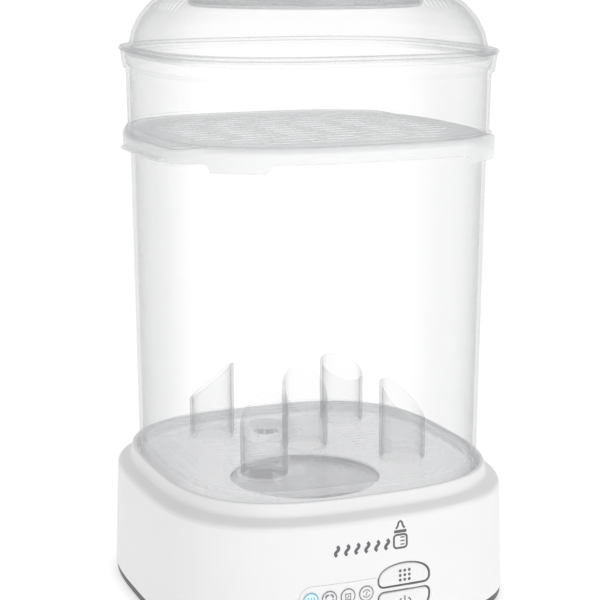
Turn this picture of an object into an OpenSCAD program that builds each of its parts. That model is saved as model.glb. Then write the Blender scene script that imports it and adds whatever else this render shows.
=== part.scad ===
// Steam sterilizer and dryer for baby bottles: heated base, clear chamber, tray tier and lid.
// Origin at the middle of the footprint, on the surface the feet stand on. Front faces -Y.

/* [Plan outline] */
// Squareness of the plan outline: 2 is a circle, larger is squarer
plan_power = 3; // [2.5:0.1:3.5]
// Flat sides used to draw each plan outline
facets = 64; // [48:8:72]

/* [Base] */
// Half width of the base at its lower edge
base_half = 117.5; // [116.5:0.5:118.5]
// Half width of the base at the shoulder
shoulder_half = 115.1; // [114:0.1:116]
// Height of the shoulder edge above the table
shoulder_z = 77; // [76:0.5:79]
// Wall thickness of the base moulding
shell_wall = 2.6; // [2.2:0.1:2.8]
// Radius of the heating plate
plate_r = 53; // [51:0.5:54]

/* [Chamber] */
// Half width of the clear chamber at its foot
chamber_low_half = 101.4; // [101:0.1:101.6]
// Half width of the clear chamber under the tray
chamber_top_half = 103.4; // [103:0.1:103.8]
// Wall thickness of the clear chamber
chamber_wall = 2.4; // [2:0.1:2.6]
// Height of the chamber's top edge
chamber_top_z = 294.6; // [294:0.1:294.8]

/* [Bottle rack] */
// Distance of the four outer pegs from the middle, along X and along Y
peg_pitch = 47.3; // [46:0.1:48]
// Outer radius of a peg tube
peg_r = 14.75; // [14:0.25:15]
// Wall of a peg tube
peg_wall = 1.5; // [1.2:0.1:1.8]
// Height of a peg's high side
peg_high_z = 140; // [136:1:144]
// Slope of the slanted peg mouth
peg_slope = 41.5; // [38:0.5:44]

/* [Tray tier] */
// Half width of the tray's band
band_half = 107.7; // [107.4:0.1:108]
// Height of the tray floor's upper face
tray_floor_z = 297.6; // [297.4:0.1:297.8]
// How far the band dips at the left and right, where it is gripped
side_dip = 5; // [3:0.5:5.5]
// Height of the tier wall's top edge
tier_top_z = 346; // [345.6:0.1:346.2]

/* [Lid] */
// Half width of the lid's flange
flange_half = 109.3; // [108.8:0.1:109.6]
// Height of the lid's flat rim
lid_top_z = 387; // [386.5:0.5:387.5]
// Radius of the round handle cup
cup_r = 72.8; // [72:0.1:72.9]
// Width of the grip bar
grip_w = 42; // [36:1:46]

/* [Controls] */
// Middle of the two keys, across the front
key_x = 16; // [14:1:18]
// Width of a key
key_w = 34; // [32:1:35]
// Travel of a key
key_travel = 0.8; // [0.6:0.1:0.8]
// Diameter of an indicator window
lens_d = 9.4; // [8.6:0.1:9.6]

/* [Hidden] */
$fn = 48;
fit_gap = 0.3;
foot_z = 2;
cover_z = 8;
collar_top_z = 88.6;
seat_z = 82.7;
ledge_z = 80;
well_z = 70;
plate_z = 64.4;
rack_z = 88.8;
rack_t = 2.2;
band_low_z = 288.5;
board_y = -107;
plunger_y = board_y - 1.8;
key_back_y = plunger_y - key_travel - 0.1;
panel_z = 31.4;
key_top = [40, 13.2];
key_low = [21.8, 15.4];
lens_x = [-45, -33.4, -21.5, -9.5];
board_low = [-89, -28];
board_size = [49, 78];
screw_at = [[96, 38], [-96, 38], [-96, -38], [96, -38]];
foot_at = [[80, 80], [-80, 80], [-80, -80], [80, -80]];
tab_angles = [48.5, 131.5, 228.5, 311.5];
tab_spread = 8;
heater_post_angles = [10, 130, 250];
heater_post_r = 61;
blower = [50, 46];
blower_r = 34;
riser = [0, 69];
tower_low_z = 66;
tower_r = 10;
tower_bore_r = 8;
cord = [-46, 20];
filter_low = [-26, 12];
filter_size = [52, 22];
clear_grey = [0.80, 0.83, 0.86, 0.35];
frost_white = [0.93, 0.94, 0.95, 0.7];
shell_white = [0.93, 0.93, 0.93];
dark_grey = [0.32, 0.32, 0.34];
steel = [0.75, 0.76, 0.78];
board_green = [0.12, 0.38, 0.22];

// ---------- shared shapes ----------

// Radius of the plan outline in direction a, for a half width and a squareness
function plan_radius(a, half, power) =
    half / pow(pow(abs(cos(a)), power) + pow(abs(sin(a)), power), 1 / power);

// Points of the plan outline
function plan(half, power = plan_power) =
    [for (i = [0 : facets - 1])
        let (a = 360 * i / facets)
        plan_radius(a, half, power) * [cos(a), sin(a)]];

// How far the band's edges dip in direction a: all of it at the sides, none past the corners
function dip(a) =
    let (t = max(0, min(1, (abs(sin(a)) - 0.37) / 0.33)))
    side_dip * (1 - t * t * (3 - 2 * t));

// One ring of points at a section point [half, height, power, share of the dip]
function ring(s) =
    let (outline = plan(s[0], s[2] == undef ? plan_power : s[2]), share = s[3] == undef ? 0 : s[3])
    [for (i = [0 : facets - 1])
        [outline[i][0], outline[i][1], s[1] - share * dip(360 * i / facets)]];

// A closed section of points, each as ring() takes it, carried round the plan outline.
// The section runs anticlockwise when half width points right and height points up.
module carried(section) {
    m = len(section);
    polyhedron(
        points = [for (s = section) each ring(s)],
        faces = [for (k = [0 : m - 1], i = [0 : facets - 1])
            let (up = (k + 1) % m, on = (i + 1) % facets)
            [k * facets + i, up * facets + i, up * facets + on, k * facets + on]]);
}

// A solid block stacked from outlines, low to high
module stacked(section) {
    m = len(section);
    polyhedron(
        points = [for (s = section) each ring(s)],
        faces = concat(
            [for (k = [0 : m - 2], i = [0 : facets - 1])
                let (on = (i + 1) % facets)
                [k * facets + i, (k + 1) * facets + i, (k + 1) * facets + on, k * facets + on]],
            [[for (i = [0 : facets - 1]) i]],
            [[for (i = [facets - 1 : -1 : 0]) (m - 1) * facets + i]]));
}

// A flat plate with the plan outline
module plate(half, z, t) {
    translate([0, 0, z]) linear_extrude(t) polygon(plan(half));
}

// A flat band with the plan outline
module band(outer, inner, z, t) {
    translate([0, 0, z]) linear_extrude(t) difference() {
        polygon(plan(outer));
        polygon(plan(inner));
    }
}

// A wedge that keeps what lies within spread degrees either side of direction a
module wedge(a, spread, z, t) {
    reach = 170;
    translate([0, 0, z]) linear_extrude(t)
        polygon([[0, 0], reach * [cos(a - spread), sin(a - spread)],
                 reach * [cos(a), sin(a)], reach * [cos(a + spread), sin(a + spread)]]);
}

module post(at, z, t, r) {
    translate([at[0], at[1], z]) cylinder(r = r, h = t);
}

// A slot with round ends, long along X
module slot(length, width, t) {
    run = length - width;
    linear_extrude(t) union() {
        square([run, width], center = true);
        for (s = [-1, 1]) translate([s * run / 2, 0]) circle(d = width);
    }
}

// Places a shape drawn in the XY plane on the front: X stays across, Y becomes up
module on_front(x, z, y) {
    translate([x, y, z]) rotate([90, 0, 0]) children();
}

// Half width of the base's outside at a height
function wall_half(z) = base_half
    - (z - cover_z) * (base_half - shoulder_half) / (shoulder_z - cover_z);

// Solid that ends a given depth inside the base's outer face, used to trim front pieces
module front_skin(depth) {
    stacked([[wall_half(4) - depth, 4], [wall_half(70) - depth, 70]]);
}

// ---------- base ----------

module base_shell() {
    inner = shell_wall;
    color(shell_white) difference() {
        union() {
            carried([
                [base_half, cover_z], [shoulder_half, shoulder_z - 2],
                [shoulder_half - 0.9, shoulder_z], [111.6, shoulder_z + 1.6],
                [107.6, shoulder_z + 3.4], [106.8, shoulder_z + 5],
                [105.9, collar_top_z - 0.5], [105.3, collar_top_z],
                [103.6, collar_top_z], [103.1, collar_top_z - 0.5],
                [103.1, 79.2], [109, shoulder_z - 1.2],
                [shoulder_half - inner, shoulder_z - 4], [base_half - inner, cover_z]]);
            for (p = screw_at) post(p, 5, shoulder_z - 5, 4.6);
            // shelves that join the screw posts to the wall
            for (p = screw_at) translate([p[0] + sign(p[0]) * 5, p[1], shoulder_z - 16])
                cube([15, 2.4, 30], center = true);
        }
        for (p = screw_at) post(p, 4, 20, 1.7);
        key_holes(1.05, -124, 16);
        for (x = lens_x) on_front(x, panel_z, -108) cylinder(d = lens_d + 0.2, h = 20);
        // the gland's hole has eight flats that stop the gland from turning
        translate([cord[0], 100, cord[1]]) rotate([-90, 0, 0])
            rotate([0, 0, 22.5]) cylinder(r = 6.7, h = 30, $fn = 8);
        translate([filter_low[0], 100, filter_low[1]]) cube([filter_size[0], 30, filter_size[1]]);
        // air slots either side of the filter door
        for (x = [-76, -70, -64, 64, 70, 76], z = [18]) translate([x, 84, z]) cube([2.4, 34, 18]);
    }
}

module bottom_cover() {
    color(dark_grey) difference() {
        union() {
            carried([
                [base_half - 2.4, foot_z], [base_half - 0.7, foot_z + 1.2],
                [base_half - 0.3, cover_z - 0.3], [base_half - 3, cover_z - 0.3],
                [base_half - 3.2, foot_z + 2.4], [base_half - 8, foot_z + 2.4],
                [base_half - 8, foot_z]]);
            plate(base_half - 7.9, foot_z, 2.4);
            for (p = board_posts()) post(p, foot_z + 2.3, 7.7, 3.4);
        }
        for (p = screw_at) {
            post(p, foot_z - 1, 5, 1.8);
            post(p, foot_z - 1, 2.2, 3.6);
        }
        for (p = foot_at) post(p, foot_z - 1, 5, 3.1);
        for (p = board_posts()) post(p, foot_z + 3, 8, 1.1);
        // intake slots under the blower
        for (k = [-4 : 4]) translate([blower[0] + 6 * k, blower[1], foot_z - 1])
            rotate([0, 0, 90]) slot(sqrt(pow(30, 2) - pow(6 * k, 2)) * 2, 2.6, 5);
        // drip slots under the electronics
        for (k = [-3 : 3]) translate([-66, -38 + 7 * k, foot_z - 1]) slot(40, 2.4, 5);
    }
}

module rubber_feet() {
    color([0.15, 0.15, 0.16]) for (p = foot_at) {
        translate([p[0], p[1], 0]) rotate_extrude()
            polygon([[0, 0], [7.9, 0], [8.5, 0.6], [8.5, foot_z], [3, foot_z], [3, foot_z + 2.5],
                     [4.4, foot_z + 2.5], [3, foot_z + 5], [0, foot_z + 5]]);
    }
}

module base_deck() {
    color(shell_white) difference() {
        union() {
            carried([
                [102.8, seat_z - 3.2], [102.8, seat_z], [98, seat_z], [97.4, ledge_z],
                [91, ledge_z], [60, well_z + 0.6, 2], [55.6, well_z, 2], [49, well_z, 2],
                [49, well_z - 2.4, 2], [57, well_z - 2.4, 2], [61, well_z - 1.8, 2],
                [92, ledge_z - 2.6], [98, ledge_z - 2.6]]);
            for (a = heater_post_angles)
                post(heater_post_r * [cos(a), sin(a)], 55.7, well_z - 1.2 - 55.7, 3.8);
            post(riser, tower_low_z, ledge_z + 1 - tower_low_z, tower_r);
        }
        for (a = heater_post_angles) post(heater_post_r * [cos(a), sin(a)], 50, 14, 1.6);
        post(riser, 60, 30, tower_bore_r);
    }
}

module plate_seal() {
    color([0.75, 0.76, 0.78]) rotate_extrude()
        polygon([[49.6, plate_z + 2], [plate_r + 0.2, plate_z + 2], [plate_r + 0.2, plate_z - 0.6],
                 [plate_r + 2, plate_z - 0.6], [plate_r + 2, plate_z + 3.2], [49.6, plate_z + 3.2]]);
}

module heating_plate() {
    color(steel) rotate_extrude()
        polygon([[0, plate_z], [plate_r, plate_z], [plate_r, plate_z + 2], [49, plate_z + 2],
                 [46, plate_z + 1.2], [0, plate_z + 1.2]]);
}

module heating_element() {
    tube_r = 3.5;
    ring_r = 36;
    gap = 60;
    z = plate_z - tube_r;
    color([0.45, 0.45, 0.47]) rotate([0, 0, 270 + gap / 2]) union() {
        rotate_extrude(angle = 360 - gap) translate([ring_r, z]) circle(r = tube_r);
        translate([ring_r, 0, z - 11]) cylinder(r = 2.2, h = 11);
        rotate([0, 0, -gap]) translate([ring_r, 0, z - 11]) cylinder(r = 2.2, h = 11);
    }
}

module element_bracket() {
    z = 54.1;
    color(steel) difference() {
        union() {
            post([0, 0], z, 1.5, 30);
            for (a = heater_post_angles) rotate([0, 0, a])
                translate([0, -5, z]) cube([heater_post_r + 5, 10, 1.5]);
        }
        for (a = heater_post_angles) post(heater_post_r * [cos(a), sin(a)], z - 1, 4, 1.8);
        post([0, 0], z - 1, 4, 12);
        // openings for the element's terminals
        for (a = [240, 300]) post(36 * [cos(a), sin(a)], z - 1, 4, 4);
    }
}

module heater_screws() {
    color(steel) for (a = heater_post_angles) union() {
        post(heater_post_r * [cos(a), sin(a)], 51.9, 2.2, 3);
        post(heater_post_r * [cos(a), sin(a)], 54.1, 8, 1.5);
    }
}

module thermostat() {
    color([0.2, 0.2, 0.22]) union() {
        post([0, 0], plate_z - 9, 9, 8.5);
        post([0, 0], plate_z - 12, 3.1, 6.5);
        for (s = [-1, 1]) translate([s * 4, 0, plate_z - 16]) cube([1, 5, 10], center = true);
    }
}

module thermal_fuse() {
    color([0.85, 0.8, 0.7]) translate([-11, 20, plate_z - 3.2]) rotate([0, 90, 0]) union() {
        cylinder(r = 2.6, h = 22);
        translate([0, 0, -8]) cylinder(r = 0.7, h = 38);
    }
}

// ---------- controls ----------

// Outline of a key: a flat foot with soft corners under an arched top, or with up = -1 the same
// turned over
function arch(w, h, grow, up) =
    let (hw = w / 2 + grow, lo = -h / 2 - grow, hi = h / 2 + grow, c = 3.4 + grow)
    [for (q = concat(
        [for (a = [270 : 15 : 360]) [hw - c + c * cos(a), lo + c + c * sin(a)]],
        [for (a = [0 : 7.5 : 180]) [hw * cos(a), lo + c + (hi - lo - c) * pow(sin(a), 0.8)]],
        [for (a = [180 : 15 : 270]) [-hw + c + c * cos(a), lo + c + c * sin(a)]]))
     [q[0], up * q[1]]];

module key_prism(up, grow, y, depth) {
    spot = up > 0 ? key_top : key_low;
    on_front(key_x, spot[0], y + depth) linear_extrude(depth) polygon(arch(key_w, spot[1], grow, up));
}

module key_holes(grow, y, depth) {
    key_prism(1, grow, y, depth);
    key_prism(-1, grow, y, depth);
}

module key_bezel() {
    plate_front = -112;
    low = key_low[0] - key_low[1] / 2 - 3;
    high = key_top[0] + key_top[1] / 2 + 3;
    side = key_w / 2 + 2.5;
    color(dark_grey) difference() {
        union() {
            intersection() {
                key_holes(0.95, -120, 9);
                front_skin(0.3);
            }
            translate([key_x - side, plate_front, low]) cube([2 * side, 2.4, high - low]);
        }
        key_holes(0.3, -124, 14);
        key_holes(1, plate_front + 1, 4);
    }
}

module key(up) {
    spot = up > 0 ? key_top : key_low;
    union() {
        intersection() {
            key_prism(up, 0, -120, 120 + key_back_y);
            front_skin(-0.25);
        }
        // flange that keeps the key behind its bezel
        key_prism(up, 0.6, key_back_y - 0.9, 0.9);
        // boss that presses the switch
        on_front(key_x, spot[0], key_back_y) cylinder(r = 2, h = 1);
    }
}

module mode_key() { color(shell_white) key(1); }
module power_key() { color(shell_white) key(-1); }

module window(x) {
    color([0.85, 0.87, 0.9]) intersection() {
        on_front(x, panel_z, -111.6) cylinder(d = lens_d, h = 8);
        front_skin(0.05);
    }
}

module steam_window() { window(lens_x[0]); }
module fan_window() { window(lens_x[1]); }
module storage_window() { window(lens_x[2]); }
module auto_window() { window(lens_x[3]); }

module control_board() {
    color(board_green) difference() {
        translate([-56, board_y, 11]) cube([96, 1.6, 42]);
        for (x = [-53, 37], z = [14, 50]) on_front(x, z, board_y + 3) cylinder(r = 1.2, h = 5);
    }
}

module tact_switches() {
    body = 6;
    color([0.1, 0.1, 0.1]) for (z = [key_top[0], key_low[0]]) union() {
        translate([key_x - body / 2, board_y - 1, z - body / 2]) cube([body, 1, body]);
        on_front(key_x, z, board_y - 0.9) cylinder(r = 1.6, h = board_y - 0.9 - plunger_y);
    }
}

module indicator_leds() {
    color([0.6, 0.8, 0.95]) for (x = lens_x) union() {
        translate([x - 1.8, board_y - 1.2, panel_z - 1.8]) cube([3.6, 1.2, 3.6]);
        on_front(x, panel_z, board_y - 1.1) cylinder(r = 1.4, h = 1.1);
    }
}

// ---------- electronics in the base ----------

function board_posts() = [for (x = [5, board_size[0] - 5], y = [6, board_size[1] - 6])
    [board_low[0] + x, board_low[1] + y]];

module power_board() {
    color(board_green) difference() {
        translate([board_low[0], board_low[1], 12]) cube([board_size[0], board_size[1], 1.6]);
        for (p = board_posts()) post(p, 10, 6, 1.6);
    }
}

module board_components() {
    z = 13.6;
    color([0.3, 0.35, 0.5]) {
        translate([-87, -10, z]) cube([19, 15, 15]);          // relay
        translate([-66, -12, z]) cube([22, 24, 20]);          // transformer
        post([-79, 24], z, 22, 6.5);                          // smoothing capacitor
        translate([-71, 18, z]) cube([6, 18, 13]);            // mains filter capacitor
        translate([-60, 18, z]) cube([8, 20, 9]);             // connector block
        translate([-66, -22, z]) cube([14, 2.4, 22]);         // heat sink
    }
}

module board_screws() {
    color(steel) for (p = board_posts()) union() {
        post(p, 13.6, 1.8, 2.8);
        post(p, 5.6, 8.1, 1);
    }
}

module base_screws() {
    color(steel) for (p = screw_at) union() {
        post(p, foot_z + 0.3, 0.9, 3.2);
        post(p, foot_z + 0.3, 15, 1.5);
    }
}

module cord_gland() {
    root_y = 105.5;
    tip_y = base_half - 0.1;
    color([0.9, 0.9, 0.9]) translate([cord[0], 0, cord[1]]) rotate([-90, 0, 0]) difference() {
        union() {
            translate([0, 0, root_y]) cylinder(r = 6, h = tip_y - root_y);
            translate([0, 0, root_y]) cylinder(r = 8, h = 4);
            translate([0, 0, tip_y - 1.5]) cylinder(r1 = 7.2, r2 = 6, h = 1.5);
        }
        translate([0, 0, root_y - 5]) cylinder(r = 3.6, h = 30);
    }
}

// ---------- drying air ----------

module blower_housing() {
    wall = 1.6;
    low = 9;
    tall = 26;
    color([0.86, 0.86, 0.86]) difference() {
        union() {
            post(blower, low, tall, blower_r);
            translate([-14, blower[1] + 12, low]) cube([blower[0] + 14, 22, tall]);
        }
        post(blower, low + wall, tall - 2 * wall, blower_r - wall);
        translate([-14 + wall, blower[1] + 12 + wall, low + wall])
            cube([blower[0] + 14 - wall, 22 - 2 * wall, tall - 2 * wall]);
        post(blower, low - 1, 4, 20);
        post(blower, low + tall - 3, 5, 5);
        translate([-14 + wall, blower[1] + 12 + wall, low + tall - 3])
            cube([28 - 2 * wall, 22 - 2 * wall, 5]);
    }
}

module fan_motor() {
    color([0.25, 0.25, 0.28]) difference() {
        union() {
            post(blower, 35.2, 16, 13);
            post(blower, 33.6, 2, 4.6);
            post(blower, 51, 1.4, 5);
        }
        post(blower, 32, 16, 1.56);
    }
}

module fan_shaft() {
    color(steel) post(blower, 14, 33, 1.5);
}

module fan_impeller() {
    blades = 24;
    color([0.2, 0.2, 0.22]) difference() {
        union() {
            post(blower, 28.6, 1.6, 29);
            post(blower, 14, 15, 5);
            translate([blower[0], blower[1], 12.6]) difference() {
                cylinder(r = 29, h = 1.4);
                translate([0, 0, -1]) cylinder(r = 21, h = 4);
            }
            for (k = [0 : blades - 1]) translate([blower[0], blower[1], 13.8])
                rotate([0, 0, 360 * k / blades]) translate([25, 0, 0])
                rotate([0, 0, 35]) translate([-3.2, -0.5, 0]) cube([6.4, 1, 15]);
        }
        post(blower, 13, 30, 1.5);
    }
}

module dryer_heater() {
    color([0.8, 0.75, 0.6]) difference() {
        translate([riser[0] - 12, riser[1] - 8.6, 38]) cube([24, 17.2, 12]);
        for (k = [-4 : 4]) translate([riser[0] + 2.4 * k - 0.7, riser[1] - 7, 37]) cube([1.4, 14, 14]);
    }
}

module air_duct() {
    wall = 1.4;
    wide = 28;
    deep = 20.2;
    color([0.86, 0.86, 0.86]) difference() {
        union() {
            translate([riser[0] - wide / 2, riser[1] - deep / 2, 35.1]) cube([wide, deep, 22]);
            post(riser, 57, tower_low_z - 0.2 - 57, tower_r - 0.4);
        }
        translate([riser[0] - wide / 2 + wall, riser[1] - deep / 2 + wall, 34])
            cube([wide - 2 * wall, deep - 2 * wall, 21.6]);
        post(riser, 50, 30, tower_bore_r);
    }
}

module air_outlet_cap() {
    color(shell_white) union() {
        post(riser, 85.2, 1.6, 12);
        for (a = [0, 60, 120]) translate([riser[0], riser[1], 80.2]) rotate([0, 0, a])
            cube([15.6, 1.4, 10.2], center = true);
    }
}

module air_filter() {
    color([0.93, 0.93, 0.88]) difference() {
        translate([filter_low[0] + 3, 96, filter_low[1] + 3])
            cube([filter_size[0] - 6, 10, filter_size[1] - 6]);
        for (k = [0 : 6]) translate([filter_low[0] + 7 + 6 * k, 95, filter_low[1] + 5])
            cube([2, 9, filter_size[1] - 10]);
    }
}

module filter_cover() {
    gap = 0.5;
    w = filter_size[0] - 2 * gap;
    h = filter_size[1] - 2 * gap;
    low = [filter_low[0] + gap, filter_low[1] + gap];
    color(shell_white) difference() {
        union() {
            intersection() {
                translate([low[0], 110, low[1]]) cube([w, 12, h]);
                front_skin(0.15);
            }
            translate([low[0] + 0.4, 94, low[1] + 0.4]) cube([w - 0.8, 17, h - 0.8]);
        }
        translate([low[0] + 2.2, 90, low[1] + 2.2]) cube([w - 4.4, 20.4, h - 4.4]);
        for (k = [-4 : 4]) translate([5 * k - 1, 105, low[1] + 5]) cube([2, 20, h - 10]);
    }
}

// ---------- chamber and rack ----------

module lower_chamber() {
    w = chamber_wall;
    n = plan_power;
    color(clear_grey) carried([
        [chamber_low_half, seat_z + fit_gap], [chamber_top_half - 0.3, 262],
        [chamber_top_half, 288, n, 1],
        [chamber_top_half + 1.6, 289.6, n, 1], [chamber_top_half + 1.6, chamber_top_z, n, 1],
        [chamber_top_half - w, chamber_top_z, n, 1], [chamber_top_half - w - 0.3, 262],
        [chamber_low_half - w, seat_z + fit_gap]]);
}

// Short ribs round a peg that hold a bottle's mouth off the plate
module standoff_ribs(at) {
    rib = [9.6, 1.8, 5];
    for (a = [30 : 60 : 330]) translate([at[0], at[1], rack_z + rack_t - 0.1]) rotate([0, 0, a])
        translate([peg_r + 0.8, -rib[1] / 2, 0]) cube(rib);
}

module bottle_rack() {
    places = [[0, 0], for (x = [-1, 1], y = [-1, 1]) peg_pitch * [x, y]];
    plate_half = 97;
    color(clear_grey) difference() {
        union() {
            plate(plate_half, rack_z, rack_t);
            // low rim round the edge
            band(plate_half, plate_half - 1.8, rack_z + rack_t - 0.1, 1.7);
            // four legs that stand on the deck's ledge
            for (a = [45 : 90 : 315]) intersection() {
                band(plate_half - 0.6, plate_half - 3, ledge_z + fit_gap, rack_z - ledge_z);
                wedge(a, 16, ledge_z, 12);
            }
            for (p = places) standoff_ribs(p);
            // raised wings at the left and right
            for (s = [-1, 1]) translate([s * 84 - 1, -26, rack_z + rack_t - 0.1]) cube([2, 52, 6.6]);
            // ribs between the pegs, along X
            for (y = [-26, 26], s = [-1, 1]) translate([s * 42 - 20, y - 0.8, rack_z + rack_t - 0.1])
                cube([40, 1.6, 2.4]);
        }
        for (p = places) post(p, rack_z - 1, 5, peg_r - 0.75);
        // drain slots that follow the edge
        for (s = [-1, 1], y = [-58, 0, 58])
            translate([s * (91 - pow(abs(y) / 58, 2) * 5), y, rack_z - 1])
            rotate([0, 0, 90 + s * y * 0.16]) slot(y == 0 ? 30 : 36, 3.4, 5);
        for (s = [-1, 1], x = [-58, -20, 20, 58])
            translate([x, s * (88 - pow(x / 58, 2) * 5), rack_z - 1])
            rotate([0, 0, -s * x * 0.16]) slot(28, 3.4, 5);
        // drain slots between the pegs
        for (s = [-1, 1], k = [-2 : 2]) translate([s * 44, 5.4 * k, rack_z - 1]) slot(26, 2.4, 5);
        for (s = [-1, 1], k = [-2 : 2]) translate([5.4 * k, s * 44, rack_z - 1])
            rotate([0, 0, 90]) slot(26, 2.4, 5);
    }
}

// A clear tube with a slanted mouth that faces direction a
module peg(at, a) {
    color(clear_grey) translate([at[0], at[1], 0]) rotate([0, 0, a]) difference() {
        union() {
            post([0, 0], rack_z + rack_t, peg_high_z - rack_z - rack_t, peg_r);
            post([0, 0], rack_z, rack_t + 0.1, peg_r - 0.8);
        }
        post([0, 0], rack_z - 1, 70, peg_r - peg_wall);
        translate([-peg_r, -40, peg_high_z]) rotate([0, peg_slope, 0])
            cube([80, 80, 60]);
    }
}

module peg_front_left() { peg(peg_pitch * [-1, -1], 225); }
module peg_front_right() { peg(peg_pitch * [1, -1], 315); }
module peg_rear_left() { peg(peg_pitch * [-1, 1], 135); }
module peg_rear_right() { peg(peg_pitch * [1, 1], 45); }
module peg_centre() { peg([0, 0], 270); }

// ---------- tray tier ----------

module accessory_tray() {
    wall = 1.8;
    low = tray_floor_z - 2.4;
    rim = tray_floor_z + 0.6;
    side = 38;
    low_share = 0.6;
    n = plan_power;
    color(frost_white) difference() {
        union() {
            carried([
                [band_half, band_low_z, n, low_share], [band_half, rim - 1, n, 1],
                [band_half - 1, rim, n, 1], [102.1, rim, n, 1], [101.7, tray_floor_z],
                [99, tray_floor_z], [99, low], [100.6, low], [101.4, low, n, 1],
                [band_half - wall, low, n, 1], [band_half - wall, band_low_z, n, low_share]]);
            plate(99.1, low, 2.4);
            // corner tabs under the band
            for (a = tab_angles) intersection() {
                band(band_half, band_half - wall, 283.4, 6);
                wedge(a, tab_spread, 283, 8);
            }
            // side grips: the band's lower edge turns out into a lip
            for (s = [-1, 1]) intersection() {
                band(band_half + 4, band_half - wall, band_low_z - low_share * side_dip + 0.6, 2);
                translate([s > 0 ? 60 : -160, -side, 280]) cube([100, 2 * side, 12]);
            }
        }
        // steam slots in the floor
        for (y = [-72 : 12 : 72]) {
            half = plan_radius(asin(min(1, abs(y) / 97)), 94, 2) * cos(asin(min(1, abs(y) / 97)));
            count = floor((half * 2 + 6) / 30);
            for (k = [0 : count - 1]) translate([(k - (count - 1) / 2) * 30, y, low - 1])
                slot(23, 4.6, 5);
        }
    }
}

module tier_wall() {
    low = tray_floor_z + 0.6 + fit_gap;
    n = plan_power;
    color(frost_white) carried([
        [104.6, low, n, 1], [106.2, low + 0.2, n, 1], [106.2, low + 1.6, n, 1],
        [104.6, low + 2.2, n, 1], [104.7, 308], [105.1, 334], [106.9, 335.6],
        [108.3, tier_top_z], [106.1, tier_top_z], [104.8, 337], [102.9, 335], [102.7, 308],
        [102.6, low, n, 1]]);
}

// ---------- lid ----------

module lid_dome() {
    rest = tier_top_z + fit_gap;
    slits = 6;
    color(frost_white) difference() {
        carried([
            [flange_half, rest], [flange_half, rest + 1.8], [104.4, rest + 2.2],
            [102.9, rest + 3.6], [101.2, 358.5], [96.9, 367.4], [91, 375.5, 2.9],
            [84.5, 381.4, 2.6], [78.6, 385.6, 2.2], [76, lid_top_z, 2],
            [73.2, lid_top_z, 2], [73.2, lid_top_z - 2.4, 2], [77.4, 383.4, 2.2],
            [83, 379.4, 2.6], [89.1, 373.9, 2.9], [94.8, 366.2], [99, 357.6],
            [100.7, 350.4], [102.6, rest - 4], [104.4, rest - 4], [104.4, rest]]);
        for (s = [-1, 1], k = [0 : slits - 1])
            translate([s * 86.5 - 7, (k - (slits - 1) / 2) * 6.4 - 1.1, 360]) cube([14, 2.2, 40]);
    }
}

module lid_cup() {
    floor_z = 375.4;
    color([0.6, 0.62, 0.64, 0.75]) rotate_extrude()
        polygon([[0, floor_z - 1.8], [cup_r - 1.4, floor_z - 1.8], [cup_r, floor_z - 0.4],
                 [cup_r, lid_top_z + 0.1], [76, lid_top_z + 0.1], [76, lid_top_z + 1],
                 [75.4, lid_top_z + 1.5], [71.6, lid_top_z + 1.5], [70.9, lid_top_z + 0.8],
                 [70.9, floor_z + 0.8], [70, floor_z], [0, floor_z]]);
}

module lid_grip() {
    wall = 2;
    high = 388;
    low = 375.5;
    reach = 66.5;
    half = grip_w / 2;
    color([0.66, 0.68, 0.7, 0.8]) difference() {
        translate([0, reach, 0]) rotate([90, 0, 0]) linear_extrude(2 * reach) polygon([
            [-half, low], [half, low], [half - 2, high - 5], [half - 7, high],
            [7 - half, high], [2 - half, high - 5]]);
        translate([0, reach - wall, 0]) rotate([90, 0, 0]) linear_extrude(2 * (reach - wall))
            polygon([[wall - half, low - 1], [half - wall, low - 1], [half - 2 - wall, high - 6],
                     [half - 8, high - wall], [8 - half, high - wall], [wall + 2 - half, high - 6]]);
    }
}

rubber_feet();
bottom_cover();
base_shell();
base_deck();
plate_seal();
heating_plate();
heating_element();
element_bracket();
heater_screws();
thermostat();
thermal_fuse();
control_board();
tact_switches();
indicator_leds();
steam_window();
fan_window();
storage_window();
auto_window();
key_bezel();
mode_key();
power_key();
power_board();
board_components();
board_screws();
base_screws();
cord_gland();
blower_housing();
fan_motor();
fan_shaft();
fan_impeller();
dryer_heater();
air_duct();
air_outlet_cap();
air_filter();
filter_cover();
lower_chamber();
bottle_rack();
peg_front_left();
peg_front_right();
peg_rear_left();
peg_rear_right();
peg_centre();
accessory_tray();
tier_wall();
lid_dome();
lid_cup();
lid_grip();
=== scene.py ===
# %% [markdown]
# # A steam sterilizer and dryer for baby bottles
# The machine is a stack that comes apart by hand. A white base holds the heater, the blower and the
# keys. A clear chamber stands on it, round a rack of slanted pegs that hold bottles upside down.
# A slotted tray with a low frosted wall sits on the chamber, and a domed lid with a round handle cup
# closes the top. The frame gives every size and place, so it is loaded before anything is made.

import math

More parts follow.
